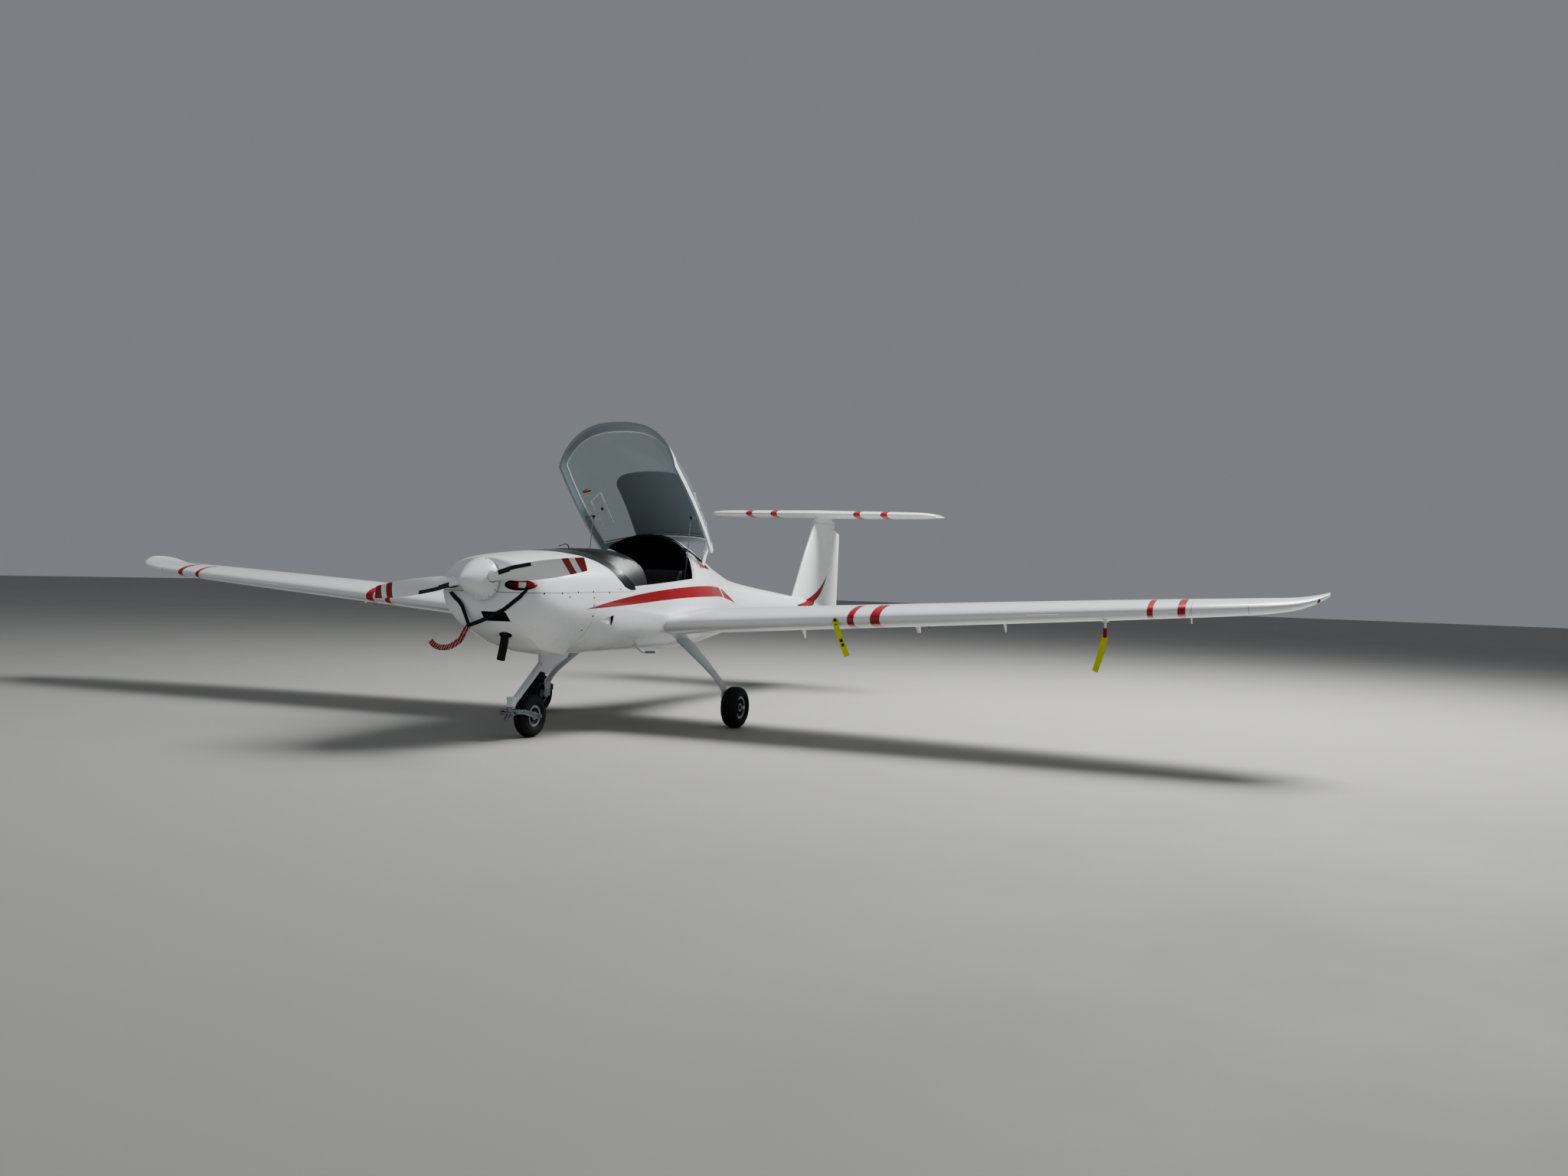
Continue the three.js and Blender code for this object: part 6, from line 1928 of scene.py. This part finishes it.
def wheelPieces(word, wheel, body, side):
    s, y, z = wheel["place"]
    half, seat, bore = wheel["half"], wheel["seat"], wheel["bore"]
    centre, across = spot(s, y * side, z), Vector((0, 1, 0))
    tyre = spun("tyre_%s_skin" % word, tyreProfile(wheel["radius"], half, seat), centre, across, 96)
    finished(tyre, body, "tyreRubber", ("tyre_" + word,), 38)
    rimPiece = spun("rim_%s_skin" % word, rimProfile(half, seat, bore), centre, across, 72)
    web = (seat - 0.02 + bore + 0.029) / 2
    for i in range(6):
        hole = bar("hole", aroundWheel(centre, web, math.pi / 3 * i), across, -0.08, 0.08, 0.0065, 24)
        cut(rimPiece, hole)
    paint(bevel(rimPiece, 0.0008, 1, 50), "rimAlloy", "rimDishShade")

    # faces in the wheel's dish take the painted shade
    def isDish(s, y, z, normal):
        return 0.03 < math.hypot(xAt(s) - centre.x, z - centre.z) < seat * 0.84

    repaint(rimPiece, isDish)
    finished(rimPiece, body, stands=("rim_" + word,))
    # the main wheels have their nuts outside, the nose wheel on both sides
    for face in (side,) if y else (1, -1):
        name = "wheel_bolts_%s_%s" % (word, "out" if face == side else "in")
        bolts = ringOfBolts(name, centre + across * face * half * 0.273, web, 3, across * face)
        finished(bolts, body, "zincSteel", angle=30)
    valve = [
        centre + Vector((0, side * half * share, seat - drop))
        for share, drop in ((0.3, 0.019), (0.62, 0.022))
    ]
    done(bevel(tube("valve_" + word, valve, 0.003, 12), 0.0008), body, "blackPlastic")


for word, wheel, body, side in (
    ("left", mainWheel, "wheel_left", 1),
    ("right", mainWheel, "wheel_right", -1),
    ("nose", noseWheel, "nose_wheel", 1),
):
    wheelPieces(word, wheel, body, side)

# Main legs: span, height, station, half length and half thickness of a flat spring blade
legTable = (
    (0.300, 0.745, 2.500, 0.128, 0.020),
    (0.420, 0.690, 2.505, 0.118, 0.019),
    (0.560, 0.575, 2.500, 0.092, 0.017),
    (0.700, 0.452, 2.486, 0.062, 0.015),
    (0.820, 0.330, 2.468, 0.046, 0.014),
    (0.858, 0.262, 2.456, 0.042, 0.014),
)
leg = {
    "tilt": 42,
    "plateY": 0.848,
    "plateZ": 0.222,
    "axleRadius": 0.016,
    "axleEnd": 1.03,
    "squareness": 2.8,
    "caliperS": 2.512,
    "caliperRise": 0.052,
    "nutY": 0.998,
    "boltRows": (-0.05, -0.02, 0.03, 0.055),
    "boltHalf": 0.026,
    "caliperBolts": (-0.018, 0.018),
    "hoseEnd": ((2.508, 0.858, 0.256), (2.512, 0.861, 0.246)),
    "clips": (6, 13, 20, 27),
}


def legRing(y, count=40):
    z, s, a, b = columnsAt(legTable, y)
    tilt = math.radians(leg["tilt"])
    ring = []
    for i in range(count):
        t = 2 * math.pi * i / count
        along = a * power(math.cos(t), 2 / leg["squareness"])
        across = b * power(math.sin(t), 2 / leg["squareness"])
        ring.append((xAt(s) + along, y + across * math.cos(tilt), z + across * math.sin(tilt)))
    return ring


# The left leg's blade with its stub axle, the brake caliper in two halves, and the fasteners
def mainLeg():
    blade = skin("leg_blade", [legRing(y) for y in evenly(0.3, 0.858, 32)])
    cut(blade, block("up", (xAt(2.5), 0.3, 0.9), (0.6, 0.26, 0.5)))
    x, y, z = xAt(mainWheel["place"][0]), leg["plateY"], mainWheel["radius"]
    wide, narrow = leg["axleRadius"], 0.0135
    base = block("plate", (x, y, leg["plateZ"]), (0.078, 0.016, 0.15), 0.004)
    rows = ((y, wide), (0.99, wide), (0.992, narrow), (1.02, narrow), (leg["axleEnd"], 0.012))
    axle = tube("axle", [(x, at, z) for at, _ in rows], [radius for _, radius in rows], 28)
    flange = tube("flange", [(x, y + 0.006, z), (x, y + 0.014, z)], 0.034, 32)
    caliperX, caliperZ = xAt(leg["caliperS"]), z + leg["caliperRise"]
    caliper = block("caliper", (caliperX, y + 0.012, caliperZ), (0.062, 0.03, 0.054), 0.007, 3)
    backing = block("backing", (caliperX + 0.004, y + 0.0285, caliperZ), (0.05, 0.006, 0.044), 0.002)
    return [blade, base, axle, flange], [caliper, backing]


def legDetails():
    x, z, out = xAt(mainWheel["place"][0]), mainWheel["radius"], Vector((0, 1, 0))
    nutAt = Vector((x, leg["nutY"], z))
    nut = bar("axle_nut", nutAt, out, 0, 0.013, 0.019, 6)
    washer = bar("axle_washer", nutAt, out, -0.003, 0, 0.022, 28)
    cap = tube("axle_cap", [nutAt + out * d for d in (0.012, 0.028, 0.033)], [0.0125, 0.0115, 0.006], 24)
    bolts = []
    for dz in leg["boltRows"]:
        for dx in (-leg["boltHalf"], leg["boltHalf"]):
            at = Vector((x + dx, leg["plateY"] - 0.008, leg["plateZ"] + dz))
            bolts.append(bar("plate_bolt", at, out, 0.002, -0.006, 0.0062, 6))
    for dz in leg["caliperBolts"]:
        at = spot(leg["caliperS"], leg["plateY"] - 0.003, z + leg["caliperRise"] + dz)
        bolts.append(bar("caliper_bolt", at, out, 0.002, -0.006, 0.005, 6))
    return joined("leg_fasteners", [nut, washer, cap, *bolts])


# A thin hose clipped along the blade's rear edge
def brakeLine():
    path = []
    for y in evenly(0.43, 0.85, 29):
        z, s, a, _ = columnsAt(legTable, y)
        path.append(spot(s + a + 0.0042, y, z + 0.002))
    path += route(leg["hoseEnd"])
    clips = []
    for k in leg["clips"]:
        run = (path[k + 1] - path[k]).normalized()
        clips.append(bar("clip", path[k], run, -0.006, 0.006, 0.0058, 16))
    return tube("hose", path, 0.0038, 12), joined("clips", clips)


for word, side in bothSides:
    enamel, raw = mainLeg()
    pieces = (joined("main_leg_%s_skin" % word, enamel), joined("brake_caliper", raw), legDetails())
    looks = (
        ("main_leg_%s_skin", "grey_paint", "greyEnamel", ("main_leg_" + word,)),
        ("brake_caliper_%s", "rim_alloy", "castIron", ()),
        ("leg_fasteners_%s", "bright_steel", "zincSteel", ()),
        ("brake_hose_%s", "tyre", "blackPlastic", ()),
        ("hose_clips_%s", "bright_steel", "zincSteel", ()),
    )
    for piece, (name, slot, material, stands) in zip(pieces + brakeLine(), looks):
        piece.name = name % word
        if side < 0:
            flipped(piece)
        finished(piece, "airframe", material, stands)

# Nose leg: a fairing that narrows down onto a sprung tube, and the caster head at its end
noseLeg = {
    "line": ((1.075, 0.0, 0.56), (0.668, 0.0, 0.2595)),
    "radii": (0.027, 0.025),
    "headStation": 0.655,
    "head": (
        (0, 0.24), (0.031, 0.24), (0.034, 0.2425), (0.034, 0.2505), (0.0295, 0.253), (0.0295, 0.292),
        (0.034, 0.2945), (0.034, 0.306), (0.0315, 0.3095), (0.012, 0.3105), (0.011, 0.312), (0, 0.312),
    ),
    "collar": (1.052, 0.0, 0.4635),
}
# Fairing sections by their share of the run: front and rear point in the side view, half width
fairingTable = (
    (0.0, 1.021, 0.700, 1.387, 0.700, 0.052),
    (0.2, 1.019, 0.640, 1.387, 0.606, 0.052),
    (0.4, 1.017, 0.590, 1.372, 0.572, 0.051),
    (0.6, 1.015, 0.545, 1.270, 0.530, 0.046),
    (0.8, 1.013, 0.508, 1.165, 0.488, 0.038),
    (1.0, 1.010, 0.478, 1.104, 0.4515, 0.0325),
)


def fairingRing(u, count=40):
    fs, fz, rs, rz, half = columnsAt(fairingTable, u)
    ring = []
    for i in range(count):
        t = 2 * math.pi * i / count
        c = power(math.cos(t), 0.9)
        s = (fs + rs) / 2 - c * (rs - fs) / 2
        z = (fz + rz) / 2 - c * (rz - fz) / 2
        ring.append((xAt(s), half * power(math.sin(t), 0.82), z))
    return ring


fairing = skin("fairing", [fairingRing(u) for u in evenly(0, 1, 24)])
a, b = route(noseLeg["line"])
legTube = tube("leg_tube", [a, b], noseLeg["radii"], 40)
headFoot, up = spot(noseLeg["headStation"], 0, 0), Vector((0, 0, 1))
head = spun("caster_head", noseLeg["head"], headFoot, up, 48)
whole = joined("nose_leg_skin", [fairing, legTube, head])
finished(whole, "airframe", "greyEnamel", ("nose_leg",))
along = (b - a).normalized()
ringAt = spot(*noseLeg["collar"]) + along * 0.012
collar = [bar("collar", ringAt, along, 0, 0.016, 0.0318, 40)]
for side in (1, -1):
    ends = [ringAt + along * 0.008 + Vector((0, side * y, z)) for y, z in ((0.02, -0.026), (0.024, -0.04))]
    collar.append(tube("ear", ends, 0.005, 12))
finished(joined("leg_collar", collar), "airframe", "blackEnamel")

# Nose fork: crown with its boss, two trailing arms, towing lugs with their pin, and the axle
fork = {
    "armY": 0.078,
    "armHalf": 0.0065,
    "crownZ": 0.206,
    "axle": (0.905, 0.0, 0.157),
    "boss": ((0, 0.205), (0.032, 0.205), (0.032, 0.232), (0.0285, 0.2365), (0.0285, 0.2393), (0, 0.2393)),
    "arm": (
        (0.648, 0.2205), (0.715, 0.2205), (0.8, 0.203), (0.893, 0.1795), (0.9105, 0.175), (0.921, 0.166),
        (0.9235, 0.156), (0.9195, 0.146), (0.9105, 0.139), (0.898, 0.1365), (0.79, 0.163), (0.7, 0.186),
        (0.648, 0.1925),
    ),
    "lug": (
        (0.652, 0.214), (0.652, 0.186), (0.616, 0.18), (0.598, 0.186), (0.594, 0.197), (0.6, 0.208),
        (0.618, 0.213),
    ),
    "bow": ((0.645, 0.014, 0.205), (0.6, 0.014, 0.15), (0.596, 0.0125, 0.146)),
    "bolts": (0.672, 0.704),
    "boltY": 0.0845,
}
across = Vector((0, 1, 0))
forkParts = [
    block("crown", (xAt(0.675), 0, fork["crownZ"]), (0.094, 0.168, 0.029), 0.006, 3),
    spun("crown_boss", fork["boss"], headFoot, up, 40),
]
for side in (1, -1):
    for name, y, half, edge in (("arm", fork["armY"], fork["armHalf"], 0.002), ("lug", 0.05, 0.004, 0.0012)):
        side0, side1 = side * y - half, side * y + half
        forkParts.append(bevel(sidePlate(name, sideView(fork[name]), side0, side1), edge))
    forkParts.append(tube("bow", route(fork["bow"], side), 0.0055, 16))
for name, at, half, radius, sides in (
    ("bow_end", (0.596, 0, 0.146), 0.0185, 0.0055, 16),
    ("tow_pin", (0.607, 0, 0.196), 0.056, 0.0065, 20),
    ("axle", fork["axle"], 0.09, 0.012, 24),
):
    forkParts.append(bar(name, spot(*at), across, -half, half, radius, sides))
finished(joined("nose_fork_skin", forkParts), "nose_fork", "zincSteel", ("nose_fork",))
forkBolts = []
for side in (1, -1):
    out, shift = across * side, across * side * fork["boltY"]
    forkBolts.append(bar("axle_nut", spot(*fork["axle"]) + shift, out, 0, 0.011, 0.0165, 6))
    for s in fork["bolts"]:
        at = spot(s, 0, fork["crownZ"]) + shift
        forkBolts.append(bar("crown_bolt", at, out, -0.001, 0.005, 0.0065, 6))
finished(joined("fork_nuts", forkBolts), "nose_fork", "steel")

print("the frame's own pieces")
for name, material in (("engine_block", "castIron"),):
    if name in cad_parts:
        paint(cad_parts[name], material)
